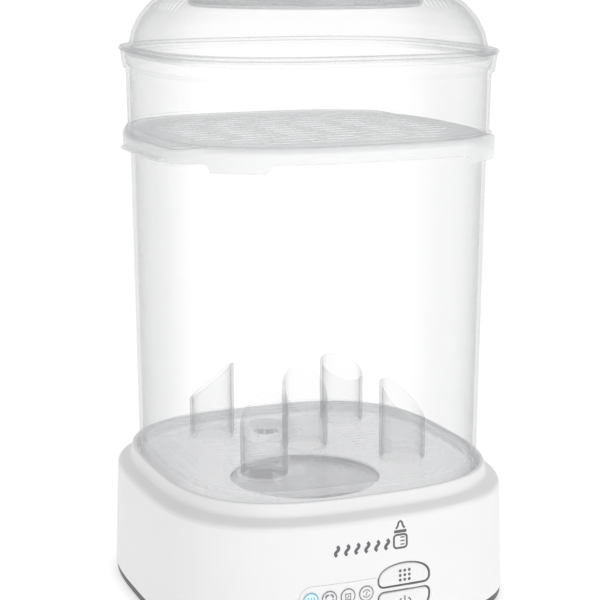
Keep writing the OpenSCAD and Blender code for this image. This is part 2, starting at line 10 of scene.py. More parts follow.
import bmesh
import bpy
import numpy as np
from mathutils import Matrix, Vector


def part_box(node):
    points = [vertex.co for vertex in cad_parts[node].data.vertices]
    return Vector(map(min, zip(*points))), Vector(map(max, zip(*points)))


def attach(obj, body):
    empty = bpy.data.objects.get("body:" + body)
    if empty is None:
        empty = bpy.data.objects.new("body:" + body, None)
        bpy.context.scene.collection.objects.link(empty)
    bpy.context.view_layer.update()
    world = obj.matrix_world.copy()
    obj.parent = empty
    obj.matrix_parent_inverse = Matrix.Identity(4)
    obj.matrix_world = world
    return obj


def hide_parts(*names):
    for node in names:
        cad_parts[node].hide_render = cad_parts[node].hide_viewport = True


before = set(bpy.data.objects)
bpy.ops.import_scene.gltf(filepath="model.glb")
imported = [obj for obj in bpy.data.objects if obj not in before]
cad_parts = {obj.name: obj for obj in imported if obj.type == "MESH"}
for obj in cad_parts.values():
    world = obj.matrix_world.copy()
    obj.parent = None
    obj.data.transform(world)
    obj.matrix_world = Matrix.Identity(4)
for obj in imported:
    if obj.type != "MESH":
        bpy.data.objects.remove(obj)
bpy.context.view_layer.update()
MM = 0.001

# %% [markdown]
# ## Sizes that every piece shares
# Shapes are worked out in millimetres, the unit on a drawing, and turned into metres when they
# become a mesh. The heights of the seams come from the frame's nodes, so each new piece meets its
# neighbours where the working model does.

# %% Read the sizes from the frame


def span(node):
    """Lowest and highest corner of a node of the frame, in millimetres."""
    low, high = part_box(node)
    return np.array(low) / MM, np.array(high) / MM


BASE_HALF = span("base_shell")[1][0]
COLLAR_TOP = span("base_shell")[1][2]
FOOT_Z = span("bottom_cover")[0][2]
SEAM_Z = FOOT_Z + 6
SHOULDER_Z = COLLAR_TOP - 11.6
SHOULDER_HALF = BASE_HALF - 2.4
CHAMBER_LOW = span("lower_chamber")[0][2]
CHAMBER_TOP = span("lower_chamber")[1][2]
RIM_HALF = span("lower_chamber")[1][0]
PEG_TOP = span("peg_centre")[1][2]
PEG_R = span("peg_centre")[1][0]
RACK_HALF = span("bottle_rack")[1][0]
RACK_FOOT = span("bottle_rack")[0][2]
RACK_TOP = span("peg_centre")[0][2] + 2.2
TRAY_TOP = span("accessory_tray")[1][2]
TRAY_FLOOR = TRAY_TOP - 0.6
TIER_TOP = span("tier_wall")[1][2]
TIER_HALF = span("tier_wall")[1][0]
FLANGE_HALF = span("lid_dome")[1][0]
DOME_TOP = span("lid_dome")[1][2]
LID_TOP = span("lid_cup")[1][2]
print("seams at", [round(float(z), 1) for z in (SEAM_Z, COLLAR_TOP, CHAMBER_TOP, TIER_TOP, LID_TOP)])

# %% [markdown]
# ## The outline that the whole stack follows
# Seen from above, every ring of the machine is the same rounded square, a superellipse:
# |x|^3 + |y|^3 = half^3. A place on it is named by the distance s walked round it, anticlockwise
# from the middle of the front. Equal steps of s then give even faces, and a mark on the front wall
# can be drawn as if the wall lay flat.

# %% Walk round the outline
TABLE_STEPS = 7200
table_angle = np.linspace(-math.pi / 2, 1.5 * math.pi, TABLE_STEPS + 1)
table_radius = (abs(np.cos(table_angle)) ** 3 + abs(np.sin(table_angle)) ** 3) ** (-1 / 3)
table_x = BASE_HALF * table_radius * np.cos(table_angle)
table_y = BASE_HALF * table_radius * np.sin(table_angle)
table_s = np.append(0, np.cumsum(np.hypot(np.diff(table_x), np.diff(table_y))))
ROUND = table_s[-1]
REAR = ROUND / 2
RIGHT = ROUND / 4


def angle_at(s):
    """Direction, in radians, of the place that lies s along the outline."""
    return np.interp(np.mod(s, ROUND), table_s, table_angle)


def station(x, y):
    """The distance s of the place that lies in the direction of the point x, y."""
    angle = np.mod(np.arctan2(y, x) + math.pi / 2, 2 * math.pi) - math.pi / 2
    return np.interp(angle, table_angle, table_s)


print(f"once round the base is {ROUND:.0f} mm")

# %% [markdown]
# ## Sections
# A wall is a section carried round the outline, as a potter's rib shapes a pot. A section is a list
# of rows: half width, height, squareness, and how much the row shares in the band's side dip, in its
# corner tabs and in its grip lip. Sharp corners look like cardboard, so each corner is replaced by a
# short curve before the section is carried.

# %% Round and divide a section
DIP = 5.0
TAB = 5.1
LIP = 4.0
TAB_AT = math.radians(48.5)
TAB_SPREAD = math.radians(8.0)
TAB_END = math.radians(1.6)
LIP_REACH = 38.0
LIP_RADIUS = 107


def smooth_step(t):
    """0 below 0, 1 above 1, and 3 t^2 - 2 t^3 between."""
    t = np.clip(t, 0, 1)
    return t * t * (3 - 2 * t)


def side_dip(angle):
    """How far the band's edges fall at this direction: all of DIP at the sides, none at the corners."""
    return DIP * (1 - smooth_step((abs(np.sin(angle)) - 0.37) / 0.33))


def corner_tab(angle):
    """How far the tabs hang down: TAB within TAB_SPREAD of TAB_AT, with slanted ends."""
    off = abs(np.arctan2(abs(np.sin(angle)), abs(np.cos(angle))) - TAB_AT)
    return TAB * np.clip((TAB_SPREAD + TAB_END - off) / TAB_END, 0, 1)


def side_lip(angle):
    """How far the grip lip stands out: LIP along the middle of the left and right sides."""
    reach = abs(np.tan(angle)) * LIP_RADIUS
    return LIP * (1 - smooth_step((reach - LIP_REACH + 2) / 3))


def soft(corners, radius=0.6, steps=3, closed=False):
    """A section through corners, each rounded by a quadratic curve that starts and ends radius away."""
    filled = [list(c) + [3, 0, 0, 0][len(c) - 2:] for c in corners]
    rows = np.array(filled, float)
    t = np.linspace(0, 1, steps + 1)[:, None]
    line = []
    for i, here in enumerate(rows):
        if not closed and i in (0, len(rows) - 1):
            line.append(here[None])
            continue
        ends = []
        for other in (rows[i - 1], rows[(i + 1) % len(rows)]):
            gap = math.hypot(*(other - here)[:2])
            ends.append(here + (other - here) * min(radius, 0.45 * gap) / gap)
        line.append((1 - t) ** 2 * ends[0] + 2 * t * (1 - t) * here + t * t * ends[1])
    return np.concatenate(line)


def divided(rows, step, closed=False):
    """The same section with more rows, so that none are further apart than step(height)."""
    after = np.roll(rows, -1, 0) if closed else rows[1:]
    line = []
    for a, b in zip(rows, after):
        gap = math.hypot(*(b - a)[:2])
        count = max(1, math.ceil(gap / step((a[1] + b[1]) / 2)))
        line.append(a + (b - a) * np.arange(count)[:, None] / count)
    return np.concatenate(line + ([] if closed else [rows[-1:]]))


def lines(low, high, step, zones=()):
    """Places from low to high, step apart or closer, and closer still in zones (low, high, step)."""
    marks = sorted({low, high, *[edge for zone in zones for edge in zone[:2]]})
    parts = []
    for a, b in zip(marks[:-1], marks[1:]):
        finest = min([zone[2] for zone in zones if zone[0] <= (a + b) / 2 <= zone[1]], default=step)
        count = max(1, math.ceil((b - a) / finest - 1e-6))
        parts.append(a + (b - a) * np.arange(count) / count)
    return np.append(np.concatenate(parts), high)


def placed(rows, s):
    """Points for rows at places s: in direction angle_at(s), at half / (|cos|^n + |sin|^n)^(1/n)."""
    angle = angle_at(s)
    half, height, power, dip, tab, lip = np.moveaxis(rows, -1, 0)
    shape = (abs(np.cos(angle)) ** power + abs(np.sin(angle)) ** power) ** (-1 / power)
    radius = (half + lip * side_lip(angle)) * shape
    z = height - dip * side_dip(angle) - tab * corner_tab(angle)
    return np.stack([radius * np.cos(angle), radius * np.sin(angle), z], -1)


def grid_quads(rows, columns, close_rows=False):
    """The faces of a grid of points numbered row by row, facing columns x rows."""
    i = np.arange(rows if close_rows else rows - 1)[:, None]
    j = np.arange(columns - 1)[None, :]
    up = (i + 1) % rows
    corners = [i * columns + j, i * columns + j + 1, up * columns + j + 1, up * columns + j]
    return np.stack(np.broadcast_arrays(*corners), -1).reshape(-1, 4)


def sheet(grid, close_rows=False, way=1):
    """A grid of points as a shape: its points in one list, and its faces, turned over if way is -1."""
    grid = np.asarray(grid)
    return grid.reshape(-1, 3), grid_quads(*grid.shape[:2], close_rows)[:, ::way]


def carried(rows, s, closed=True):
    """A section carried round the outline as a shape. closed joins its last row to its first."""
    return sheet(placed(rows[:, None, :], s[None, :]), closed)


all_round = lines(-RIGHT, ROUND - RIGHT, 3.0)
print(f"{len(all_round) - 1} columns carry a plain section")

# %% [markdown]
# ## Openings
# Keys, slots and doors need holes with clean edges. One way is a boolean, which leaves long thin
# faces that shade badly on a curved wall. Here the grid is laid flat instead: a face whose middle is
# inside an opening's outline goes, and the points along the cut slide onto the outline. The wall
# then gets its thickness from a copy of the surface, joined along every open edge.

# %% Cut openings and give a wall its thickness


def inside(outline, points):
    """True for points inside a closed outline: a ray to the right crosses it an odd number of times."""
    a, b = outline, np.roll(outline, -1, 0)
    x, y = points[:, :1], points[:, 1:]
    straddles = (a[:, 1] > y) != (b[:, 1] > y)
    rise = np.where(b[:, 1] == a[:, 1], 1e-9, b[:, 1] - a[:, 1])
    crossing = a[:, 0] + (y - a[:, 1]) * (b[:, 0] - a[:, 0]) / rise
    return (straddles & (x < crossing)).sum(1) % 2 == 1


def nearest(outline, points):
    """The place on a closed outline that is nearest to each point."""
    a, d = outline, np.roll(outline, -1, 0) - outline
    t = ((points[:, None] - a) * d).sum(-1) / np.maximum((d * d).sum(-1), 1e-12)
    feet = a + np.clip(t, 0, 1)[..., None] * d
    best = np.hypot(*np.moveaxis(points[:, None] - feet, -1, 0)).argmin(1)
    return feet[np.arange(len(points)), best]


def pierced(flat, quads, openings=(), border=None):
    """Takes the faces inside openings, and outside border, off a flat grid and fits the cut edges."""
    flat = flat.copy()
    middle = flat[quads].mean(1)
    gone = np.zeros(len(quads), bool)
    moves = []
    for outline in [*openings, *([] if border is None else [border])]:
        if outline is border:
            cut = ~inside(outline, middle)
        else:
            low, high = outline.min(0), outline.max(0)
            cut = ((middle > low) & (middle < high)).all(1)
            cut[cut] = inside(outline, middle[cut])
        gone |= cut
        moves.append((outline, cut))
    kept = np.zeros(len(flat), bool)
    kept[quads[~gone]] = True
    moved = np.zeros(len(flat), bool)
    for outline, cut in moves:
        edge = np.zeros(len(flat), bool)
        edge[quads[cut]] = True
        edge &= kept & ~moved
        if edge.any():
            flat[edge] = nearest(outline, flat[edge])
        moved |= edge
    return flat, quads[~gone], moved


def normals_of(points, quads):
    """Each point's normal, as the sum of its faces' diagonals crossed."""
    a, b, c, d = (points[quads[:, k]] for k in range(4))
    face = np.cross(c - a, d - b)
    total = np.zeros_like(points)
    for k in range(4):
        np.add.at(total, quads[:, k], face)
    return total / np.maximum(np.linalg.norm(total, axis=1, keepdims=True), 1e-12)


def thickened(points, quads, thickness, direction=None):
    """A surface, its copy moved back by thickness, and walls between them along each open edge."""
    back = points + (-normals_of(points, quads) if direction is None else direction) * thickness
    count = len(points)
    edges = np.concatenate([quads[:, [k, (k + 1) % 4]] for k in range(4)])
    keys = np.sort(edges, 1) @ [count, 1]
    _, first, number = np.unique(keys, return_index=True, return_counts=True)
    a, b = edges[first[number == 1]].T
    walls = np.stack([b, a, a + count, b + count], -1)
    return np.concatenate([points, back]), np.concatenate([quads, quads[:, ::-1] + count, walls])


def welded(shape):
    """A shape without the second copy of points that lie within a thousandth of a millimetre."""
    points, quads = shape
    _, first, name = np.unique(np.round(points, 3), axis=0, return_index=True, return_inverse=True)
    quads = name.reshape(-1)[quads]
    return points[first], quads[(quads != np.roll(quads, 1, 1)).sum(1) > 2]


def looped(outline):
    """An outline with its first point once more at its end."""
    return np.concatenate([outline, outline[:1]])


def circle(x, y, r, count=40):
    """A round outline."""
    a = np.linspace(0, 2 * math.pi, count, endpoint=False)
    return np.stack([x + r * np.cos(a), y + r * np.sin(a)], -1)


def stadium(x, y, length, width, turn=0.0, count=12):
    """A slot's outline: two half circles of the slot's width, length apart end to end."""
    a = np.linspace(-90, 90, count) * math.pi / 180
    run = (length - width) / 2
    end = np.stack([run + width / 2 * np.cos(a), width / 2 * np.sin(a)], -1)
    outline = np.concatenate([end, -end])
    c, n = math.cos(turn), math.sin(turn)
    return outline @ np.array([[c, n], [-n, c]]) + [x, y]


def rounded_square(x, y, wide, high, r, count=6):
    """A rectangle's outline with quarter circles of radius r at its corners."""
    parts = []
    for k, (sx, sy) in enumerate([(1, 1), (-1, 1), (-1, -1), (1, -1)]):
        a = np.linspace(k * 90, k * 90 + 90, count) * math.pi / 180
        corner = [x + sx * (wide / 2 - r), y + sy * (high / 2 - r)]
        parts.append(np.stack([corner[0] + r * np.cos(a), corner[1] + r * np.sin(a)], -1))
    return np.concatenate(parts)


def plan_outline(half, power=3, count=240):
    """The outline of the stack at one half width, as x and y."""
    row = np.array([half, 0, power, 0, 0, 0], float)
    return placed(row[None], np.linspace(0, ROUND, count, endpoint=False))[:, :2]


def plate(border, z, thickness, step, openings=(), marks_x=(), marks_y=()):
    """A flat plate: a grid in x and y trimmed to its border and its openings, z being its top."""
    low, high = border.min(0) - 0.01, border.max(0) + 0.01
    x = lines(low[0], high[0], step, [(m, m, step) for m in marks_x])
    y = lines(low[1], high[1], step, [(m, m, step) for m in marks_y])
    flat = np.stack(np.meshgrid(x, y), -1).reshape(-1, 2)
    flat, quads, _ = pierced(flat, grid_quads(len(y), len(x)), openings, border)
    points = np.column_stack([flat, np.full(len(flat), z)])
    return thickened(points, quads, thickness, np.array([0, 0, -1.0]))


print("a test plate has", len(plate(plan_outline(20), 0, 2, 2.0, [circle(0, 0, 5)])[1]), "faces")

# %% [markdown]
# ## Turned and moulded parts
# Pegs, bosses and the handle cup are turned: a profile of radius and height spun round an upright
# line. Ribs and walls are blocks with soft edges. A soft block is a small ball cut in eight, with
# the eighths pulled apart to the block's corners, which needs only one formula.

# %% Turn a profile and make a soft block


def turned(profile, centre=(0, 0), count=64, closed=True, height=None):
    """A profile of radius and height, spun round an upright line. height(z, angle) may bend it."""
    angle = np.linspace(0, 2 * math.pi, count + 1)[None, :]
    r, z = profile[:, :1], profile[:, 1:2]
    z = z + 0 * angle if height is None else height(z, angle)
    return sheet(np.stack([centre[0] + r * np.cos(angle), centre[1] + r * np.sin(angle), z + 0 * r], -1),
                 closed)


def soft_block(low, high, r=0.4, steps=3):
    """A ball of radius r cut in eight and pulled apart: corner(sign of d) + r d, for directions d."""
    low, high = np.array(low, float), np.array(high, float)
    quarter = np.linspace(0, math.pi / 2, steps + 1)
    spin = np.concatenate([quarter + k * math.pi / 2 for k in range(4)] + [quarter[:1]])
    sign_x = np.repeat([1, -1, -1, 1], steps + 1)
    sign_y = np.repeat([1, 1, -1, -1], steps + 1)
    sign_x, sign_y = np.append(sign_x, 1), np.append(sign_y, 1)
    lift = np.concatenate([quarter - math.pi / 2, quarter])[:, None]
    sign_z = np.repeat([-1, 1], steps + 1)[:, None]
    core, middle = (high - low) / 2 - r, (low + high) / 2
    grid = np.stack([
        middle[0] + core[0] * sign_x + r * np.cos(lift) * np.cos(spin),
        middle[1] + core[1] * sign_y + r * np.cos(lift) * np.sin(spin),
        middle[2] + core[2] * sign_z + r * np.sin(lift) + 0 * spin], -1)
    rows, columns = grid.shape[:2]
    caps = np.arange(4) * (steps + 1)
    top = (rows - 1) * columns + caps
    quads = np.concatenate([grid_quads(rows, columns), [caps[::-1], top]])
    return grid.reshape(-1, 3), quads


def turned_about(shape, centre, angle):
    """A shape turned round an upright line by an angle in radians."""
    points, quads = shape
    c, n = math.cos(angle), math.sin(angle)
    x, y = points[:, 0], points[:, 1]
    moved = np.stack([centre[0] + c * x - n * y, centre[1] + n * x + c * y, points[:, 2]], -1)
    return moved, quads


SHARP = math.radians(38)


def make(name, shapes, body, replaced=()):
    """Joins shapes into one mesh object, merges its seams and poles, and ties it to the frame."""
    points, quads, count = [], [], 0
    for shape_points, shape_quads in shapes:
        points.append(shape_points)
        quads.append(shape_quads + count)
        count += len(shape_points)
    mesh = bpy.data.meshes.new(name)
    mesh.from_pydata((np.concatenate(points) * MM).tolist(), [], np.concatenate(quads).tolist())
    work = bmesh.new()
    work.from_mesh(mesh)
    bmesh.ops.remove_doubles(work, verts=work.verts, dist=1e-6)
    bmesh.ops.dissolve_degenerate(work, edges=work.edges, dist=1e-7)
    work.to_mesh(mesh)
    work.free()
    mesh.shade_smooth()
    mesh.set_sharp_from_angle(angle=SHARP)
    piece = bpy.data.objects.new(name, mesh)
    bpy.context.scene.collection.objects.link(piece)
    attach(piece, body)
    if replaced:
        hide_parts(*replaced)
    print(f"{name}: {len(mesh.polygons)} faces")
    return piece


# %% [markdown]
# ## Shader maths as plain sums
# A finish is a small network of nodes. Written one node at a time it is hard to read, so a number on
# its way to a socket is wrapped in a class whose operators add the Math nodes. Finish.node makes any
# other node from its type, its settings and what its sockets get.

# %% Wrap sockets in numbers


class Value:
    """A number in a material: sums written with it add Math nodes to its tree."""

    def __init__(self, finish, socket):
        self.finish, self.socket = finish, socket

    def math(self, operation, *values):
        return self.finish.node("ShaderNodeMath", {"operation": operation}, *values)

    def __add__(self, other):
        return self.math("ADD", self, other)

    def __sub__(self, other):
        return self.math("SUBTRACT", self, other)

    def __mul__(self, other):
        return self.math("MULTIPLY", self, other)

    def __pow__(self, other):
        return self.math("POWER", self, other)

    def clipped(self):
        return self.math("MINIMUM", self.math("MAXIMUM", self, 0.0), 1.0)


class Finish:
    """A material under construction, with one Principled shader."""

    def __init__(self, name, roughness=0.4, colour=(0.8, 0.8, 0.8), **fixed):
        self.material = bpy.data.materials.new(name)
        self.material.use_nodes = True
        self.tree = self.material.node_tree
        self.shader = self.tree.nodes["Principled BSDF"]
        self.shader.inputs["Base Color"].default_value = (*colour, 1)
        self.shader.inputs["Roughness"].default_value = roughness
        for socket, value in fixed.items():
            self.shader.inputs[socket.replace("_", " ")].default_value = value
        self.place = self.node("ShaderNodeTexCoord", {}, output="Object")

    def plug(self, socket, value):
        """Links a Value to a socket, or sets the socket to a plain number or colour."""
        if isinstance(value, Value):
            self.tree.links.new(value.socket, socket)
        else:
            socket.default_value = value

    def node(self, kind, settings, *values, output=0, **sockets):
        """Adds a node: settings first, then values by order or by socket name. Returns one output."""
        node = self.tree.nodes.new(kind)
        for key, value in settings.items():
            setattr(node, key, value)
        for key, value in [*enumerate(values), *sockets.items()]:
            self.plug(node.inputs[key if isinstance(key, int) else key.replace("_", " ")], value)
        return Value(self, node.outputs[output])

    def noise(self, scale, detail=2.0):
        """Noise from 0 to 1 with scale lumps to the metre."""
        return self.node("ShaderNodeTexNoise", {}, Vector=self.place, Scale=scale, Detail=detail)

    def mixed(self, factor, first, second):
        """A colour between two colours."""
        node = self.tree.nodes.new("ShaderNodeMix")
        node.data_type = "RGBA"
        self.plug(node.inputs[0], factor)
        for socket, colour in ((node.inputs[6], first), (node.inputs[7], second)):
            self.plug(socket, colour if isinstance(colour, Value) else (*colour, 1))
        return Value(self, node.outputs[2])

    def feed(self, **sockets):
        """Links values to the shader's own sockets."""
        for key, value in sockets.items():
            self.tree.links.new(value.socket, self.shader.inputs[key.replace("_", " ")])
        return self

    def bump(self, height, strength, distance):
        """Raises the surface's shading by height, distance being in metres."""
        return self.feed(Normal=self.node("ShaderNodeBump", {}, Height=height,
                                          Strength=strength, Distance=distance))


def dress(piece, finish):
    """Gives a piece one finish."""
    piece.data.materials.clear()
    piece.data.materials.append(finish.material)


print("finishes can be written")

# %% [markdown]
# ## Moulded plastics
# The white casing is moulded polypropylene with a fine satin grain: an even colour that drifts very
# little over a hand's width, a roughness that varies with it, and a grain of a tenth of a millimetre
# that only breaks up the highlights.

# %% Opaque plastics


def moulded(name, colour, roughness, grain=0.06, drift=0.03, **fixed):
    """A moulded plastic: slow drift in colour and roughness, and a fine grain in its bump."""
    finish = Finish(name, roughness, colour, **fixed)
    slow = finish.noise(22.0, 3.0)
    fine = finish.noise(5200.0, 2.0)
    darker = tuple(c * (1 - 2 * drift) for c in colour)
    finish.feed(Base_Color=finish.mixed(slow, darker, colour))
    finish.feed(Roughness=(slow * 0.12 + (roughness - 0.06) + fine * 0.05).clipped())
    return finish.bump(fine, grain, 0.00006)


white_plastic = moulded("satin_white", (0.86, 0.86, 0.865), 0.36, Coat_Weight=0.15, Coat_Roughness=0.3)
key_plastic = moulded("key_white", (0.85, 0.85, 0.855), 0.33, grain=0.03)
dark_plastic = moulded("base_grey", (0.085, 0.085, 0.09), 0.46)
seam_plastic = moulded("key_seam_grey", (0.16, 0.16, 0.17), 0.5)
gland_plastic = moulded("gland_white", (0.80, 0.80, 0.80), 0.42)
duct_plastic = moulded("duct_grey", (0.55, 0.56, 0.57), 0.5, grain=0.12)
black_plastic = moulded("black_phenolic", (0.02, 0.02, 0.022), 0.4, grain=0.1)
mark_ink = moulded("mark_grey", (0.13, 0.13, 0.14), 0.5, grain=0.0)
icon_ink = moulded("icon_grey", (0.22, 0.22, 0.24), 0.5, grain=0.0)
print("opaque plastics:", white_plastic.material.name, dark_plastic.material.name)

# %% [markdown]
# ## Clear and frosted plastics
# The chamber is clear, so what shows is its edges: where the wall turns away from the eye, light
# crosses more of it and it greys. Real refraction in a wall of two millimetres costs render time
# and changes little, so the wall is see-through by its Alpha, which grows with the facing angle.
# Frosted walls are the same with a rougher surface, and the tray has more haze. Light from lamps and
# sky passes through all of them, as a mixed-in Transparent shader for shadow rays lets it.

# %% See-through plastics


def see_through(name, colour, haze, edge, power, roughness, frost=0.0, **fixed):
    """A plastic whose alpha is haze + edge * facing^power, plus a cloud of frost. Shadow rays pass."""
    finish = Finish(name, roughness, colour, **fixed)
    facing = finish.node("ShaderNodeLayerWeight", {}, Blend=0.5, output="Facing")
    cloud = finish.noise(140.0, 4.0)
    fine = finish.noise(2600.0, 2.0)
    alpha = facing ** power * edge + haze
    if frost:
        alpha = alpha + (cloud - 0.5) * frost
    finish.feed(Alpha=alpha.clipped())
    finish.feed(Base_Color=finish.mixed(cloud, tuple(c * 0.97 for c in colour), colour))
    finish.feed(Roughness=(fine * 0.1 + (roughness - 0.05)).clipped())
    path, mix, through = (finish.tree.nodes.new("ShaderNode" + kind)
                          for kind in ("LightPath", "MixShader", "BsdfTransparent"))
    through.inputs[0].default_value = (0.95, 0.95, 0.955, 1)
    finish.tree.links.new(path.outputs["Is Shadow Ray"], mix.inputs[0])
    finish.tree.links.new(finish.shader.outputs[0], mix.inputs[1])
    finish.tree.links.new(through.outputs[0], mix.inputs[2])
    finish.tree.links.new(mix.outputs[0], finish.tree.nodes["Material Output"].inputs["Surface"])
    return finish


clear_plastic = see_through("chamber_clear", (0.42, 0.43, 0.44), 0.008, 0.6, 3.0, 0.08)
# The rack's white emission is painted light: a glow that brightens the clear rack, which is no lamp.
rack_plastic_painted_glow = see_through("rack_clear", (0.80, 0.805, 0.81), 0.10, 0.35, 3.0, 0.15,
                           Emission_Color=(1, 1, 1, 1), Emission_Strength=0.12)
peg_plastic = see_through("peg_clear", (0.40, 0.41, 0.42), 0.045, 0.7, 2.8, 0.08)
tray_plastic = see_through("tray_frosted", (0.82, 0.825, 0.83), 0.36, 0.35, 2.0, 0.42, 0.02)
tier_plastic = see_through("tier_frosted", (0.50, 0.51, 0.52), 0.012, 0.45, 2.6, 0.34, 0.01)
lid_plastic = see_through("lid_frosted", (0.46, 0.47, 0.48), 0.012, 0.6, 3.0, 0.2, 0.01)
cup_plastic = see_through("cup_smoke", (0.36, 0.37, 0.38), 0.12, 0.4, 2.0, 0.25, 0.02)
grip_plastic = see_through("grip_smoke", (0.80, 0.81, 0.82), 0.3, 0.35, 2.0, 0.25, 0.02)
print("see-through plastics:", clear_plastic.material.name, tier_plastic.material.name)

# %% [markdown]
# ## The white base
# The base is one moulding: a wall that leans in a little, a rounded shoulder, a shallow slope up to
# the collar, and the collar that the chamber drops into. It carries the keys and lights at the front
# and the filter door, lead and air slots at the back, so its columns are finer in those two zones.
# Round the lights the wall is sunk by a third of a millimetre, in a panel with round ends.

# %% Openings in the base wall
KEY_S = 16.0
KEY_W = 34.0
KEYS = {"mode_key": (40.0, 13.2, 1), "power_key": (21.8, 15.4, -1)}
LENS_S = [-45.0, -33.4, -21.5, -9.5]
LENS_Z = 31.4
LENS_R = 4.7
PANEL = (-16.5, LENS_Z, 72.0, 17.4)
DOOR = (0.0, 23.0, 52.0, 22.0)
LEAD = (-46.0, 20.0)
AIR_SLOTS = [-76, -70, -64, 64, 70, 76]
SCREWS = [(x, y) for x in (-96, 96) for y in (-38, 38)]


def arch(width, height, grow, up, steps=40):
    """A key's outline: a flat foot with corners of 3.4 mm, then hw cos a, (sin a)^0.8 up to its top."""
    hw, low, high, c = width / 2 + grow, -height / 2 - grow, height / 2 + grow, 3.4 + grow
    a = np.linspace(0, math.pi, steps)
    over = np.stack([hw * np.cos(a), low + c + (high - low - c) * np.sin(a) ** 0.8], -1)
    b = np.linspace(math.pi, 1.5 * math.pi, 8)[1:]
    left = np.stack([-hw + c + c * np.cos(b), low + c + c * np.sin(b)], -1)
    d = np.linspace(1.5 * math.pi, 2 * math.pi, 8)[:-1]
    right = np.stack([hw - c + c * np.cos(d), low + c + c * np.sin(d)], -1)
    outline = np.concatenate([over, left, right])
    return outline * [1, up] if up > 0 else (outline * [1, up])[::-1]


def slot_distance(flat, x, y, length, width):
    """Distance of points from a slot's outline, negative inside it."""
    run = (length - width) / 2
    away = np.maximum(abs(flat[..., 0] - x) - run, 0)
    return np.hypot(away, flat[..., 1] - y) - width / 2


def on_wall(flat, lift):
    """Points on the base's front: flat is s and height, lift is how far out from the wall."""
    s, z = flat[..., 0], flat[..., 1]
    half = BASE_HALF - (z - SEAM_Z) * (BASE_HALF - SHOULDER_HALF) / (SHOULDER_Z - 2 - SEAM_Z)
    rows = np.zeros((*np.shape(s), 6))
    rows[..., 0], rows[..., 1], rows[..., 2] = half + lift, z, 3
    return placed(rows, s)


wall_openings = [arch(KEY_W, h, 1.05, up) + [KEY_S, z] for z, h, up in KEYS.values()]
wall_openings += [circle(s, LENS_Z, LENS_R + 0.1) for s in LENS_S]
wall_openings += [rounded_square(REAR - DOOR[0], DOOR[1], DOOR[2], DOOR[3], 2.0)]
wall_openings += [circle(REAR - LEAD[0], LEAD[1], 6.1)]
wall_openings += [stadium(REAR - x, 27.0, 18.0, 2.4, math.pi / 2) for x in AIR_SLOTS]
print(len(wall_openings), "openings in the base wall")

# %% Mould the base
WALL = 1.3
base_rows = soft([
    [BASE_HALF - 0.6, SEAM_Z], [BASE_HALF, SEAM_Z + 0.7], [SHOULDER_HALF, SHOULDER_Z - 2],
    [SHOULDER_HALF - 0.9, SHOULDER_Z], [111.6, SHOULDER_Z + 1.6], [107.6, SHOULDER_Z + 3.4],
    [106.8, SHOULDER_Z + 5], [105.9, COLLAR_TOP - 0.7], [105.2, COLLAR_TOP],
    [103.7, COLLAR_TOP], [103.1, COLLAR_TOP - 0.7], [103.1, SHOULDER_Z + 2.2]], 0.9)
base_rows = divided(base_rows, lambda z: 0.9 if 9 < z < 52 else 4.0)
base_s = lines(-RIGHT, ROUND - RIGHT, 3.4, [(-58, 40, 0.85), (REAR - 80, REAR + 82, 1.15)])
rows_grid = np.broadcast_to(base_rows[:, None], (len(base_rows), len(base_s), 6)).copy()
s_grid = np.broadcast_to(base_s, rows_grid.shape[:2])
flat = np.stack([s_grid, rows_grid[..., 1]], -1)
wall_rows = int((base_rows[:, 1] < SHOULDER_Z - 2).argmin())
flat_wall = flat[:wall_rows].reshape(-1, 2)
cut_flat, wall_quads, _ = pierced(flat_wall, grid_quads(wall_rows, len(base_s)), wall_openings)
sunk = 0.35 * smooth_step(-slot_distance(cut_flat, *PANEL) / 0.9)
wall_points = on_wall(cut_flat, -sunk)
wall_points[:len(base_s)] = placed(rows_grid[0], s_grid[0])
upper = placed(rows_grid[wall_rows - 1:], s_grid[wall_rows - 1:]).reshape(-1, 3)
upper_quads = grid_quads(len(base_rows) - wall_rows + 1, len(base_s))
outer = welded((np.concatenate([wall_points, upper]),
                np.concatenate([wall_quads, upper_quads + len(wall_points)])))
post_profile = np.array([[4.6, 6.0], [4.6, 74.0], [1.7, 74.0], [1.7, 6.0]])
housing = [thickened(*outer, WALL), *[turned(post_profile, screw, 24) for screw in SCREWS]]
dress(make("base_housing", housing, "base", ["base_shell"]), white_plastic)

# %% [markdown]
# ## Keys, bezel and marks
# Each key is an arched cap, crowned by a quarter of a millimetre, with a rolled edge and side walls
# that go back through the bezel. The bezel is the thin dark line round it. Printed marks are flat
# ribbons a few hundredths of a millimetre above the wall, because ink has a thickness too.

# %% Press the keys and the bezel


def cap(name, z, height, up):
    """A key: rings of its outline from its middle out, lifted by 0.3 (1 - t^2), then rolled over."""
    rings = [(t, -1.0, 0.3 * (1 - t * t)) for t in np.linspace(0, 1, 9)]
    rings += [(1, -1 + math.sin(a), math.cos(a) - 1) for a in np.linspace(0, math.pi / 2, 6)[1:]]
    rings += [(1, 0.0, -3.0), (1, 0.0, -6.0)]
    grid = [on_wall(looped(arch(KEY_W, height, grow, up)) * t + [KEY_S, z], lift + 0.05)
            for t, grow, lift in rings]
    dress(make(name + "_cap", [sheet(grid, way=-1)], name + "_body", [name]), key_plastic)


for key, (z, height, up) in KEYS.items():
    cap(key, z, height, up)

SEAM_SECTION = [(0.32, -3.0), (0.32, -0.3), (0.4, -0.2), (0.9, -0.2), (0.98, -0.3), (0.98, -3.0)]
bezel_parts = [
    sheet([on_wall(looped(arch(KEY_W, height, grow, up)) + [KEY_S, z], lift)
           for grow, lift in SEAM_SECTION], True, -1)
    for z, height, up in KEYS.values()]
dress(make("key_seam", bezel_parts, "base", ["key_bezel"]), seam_plastic)

# %% Draw ribbons on the wall


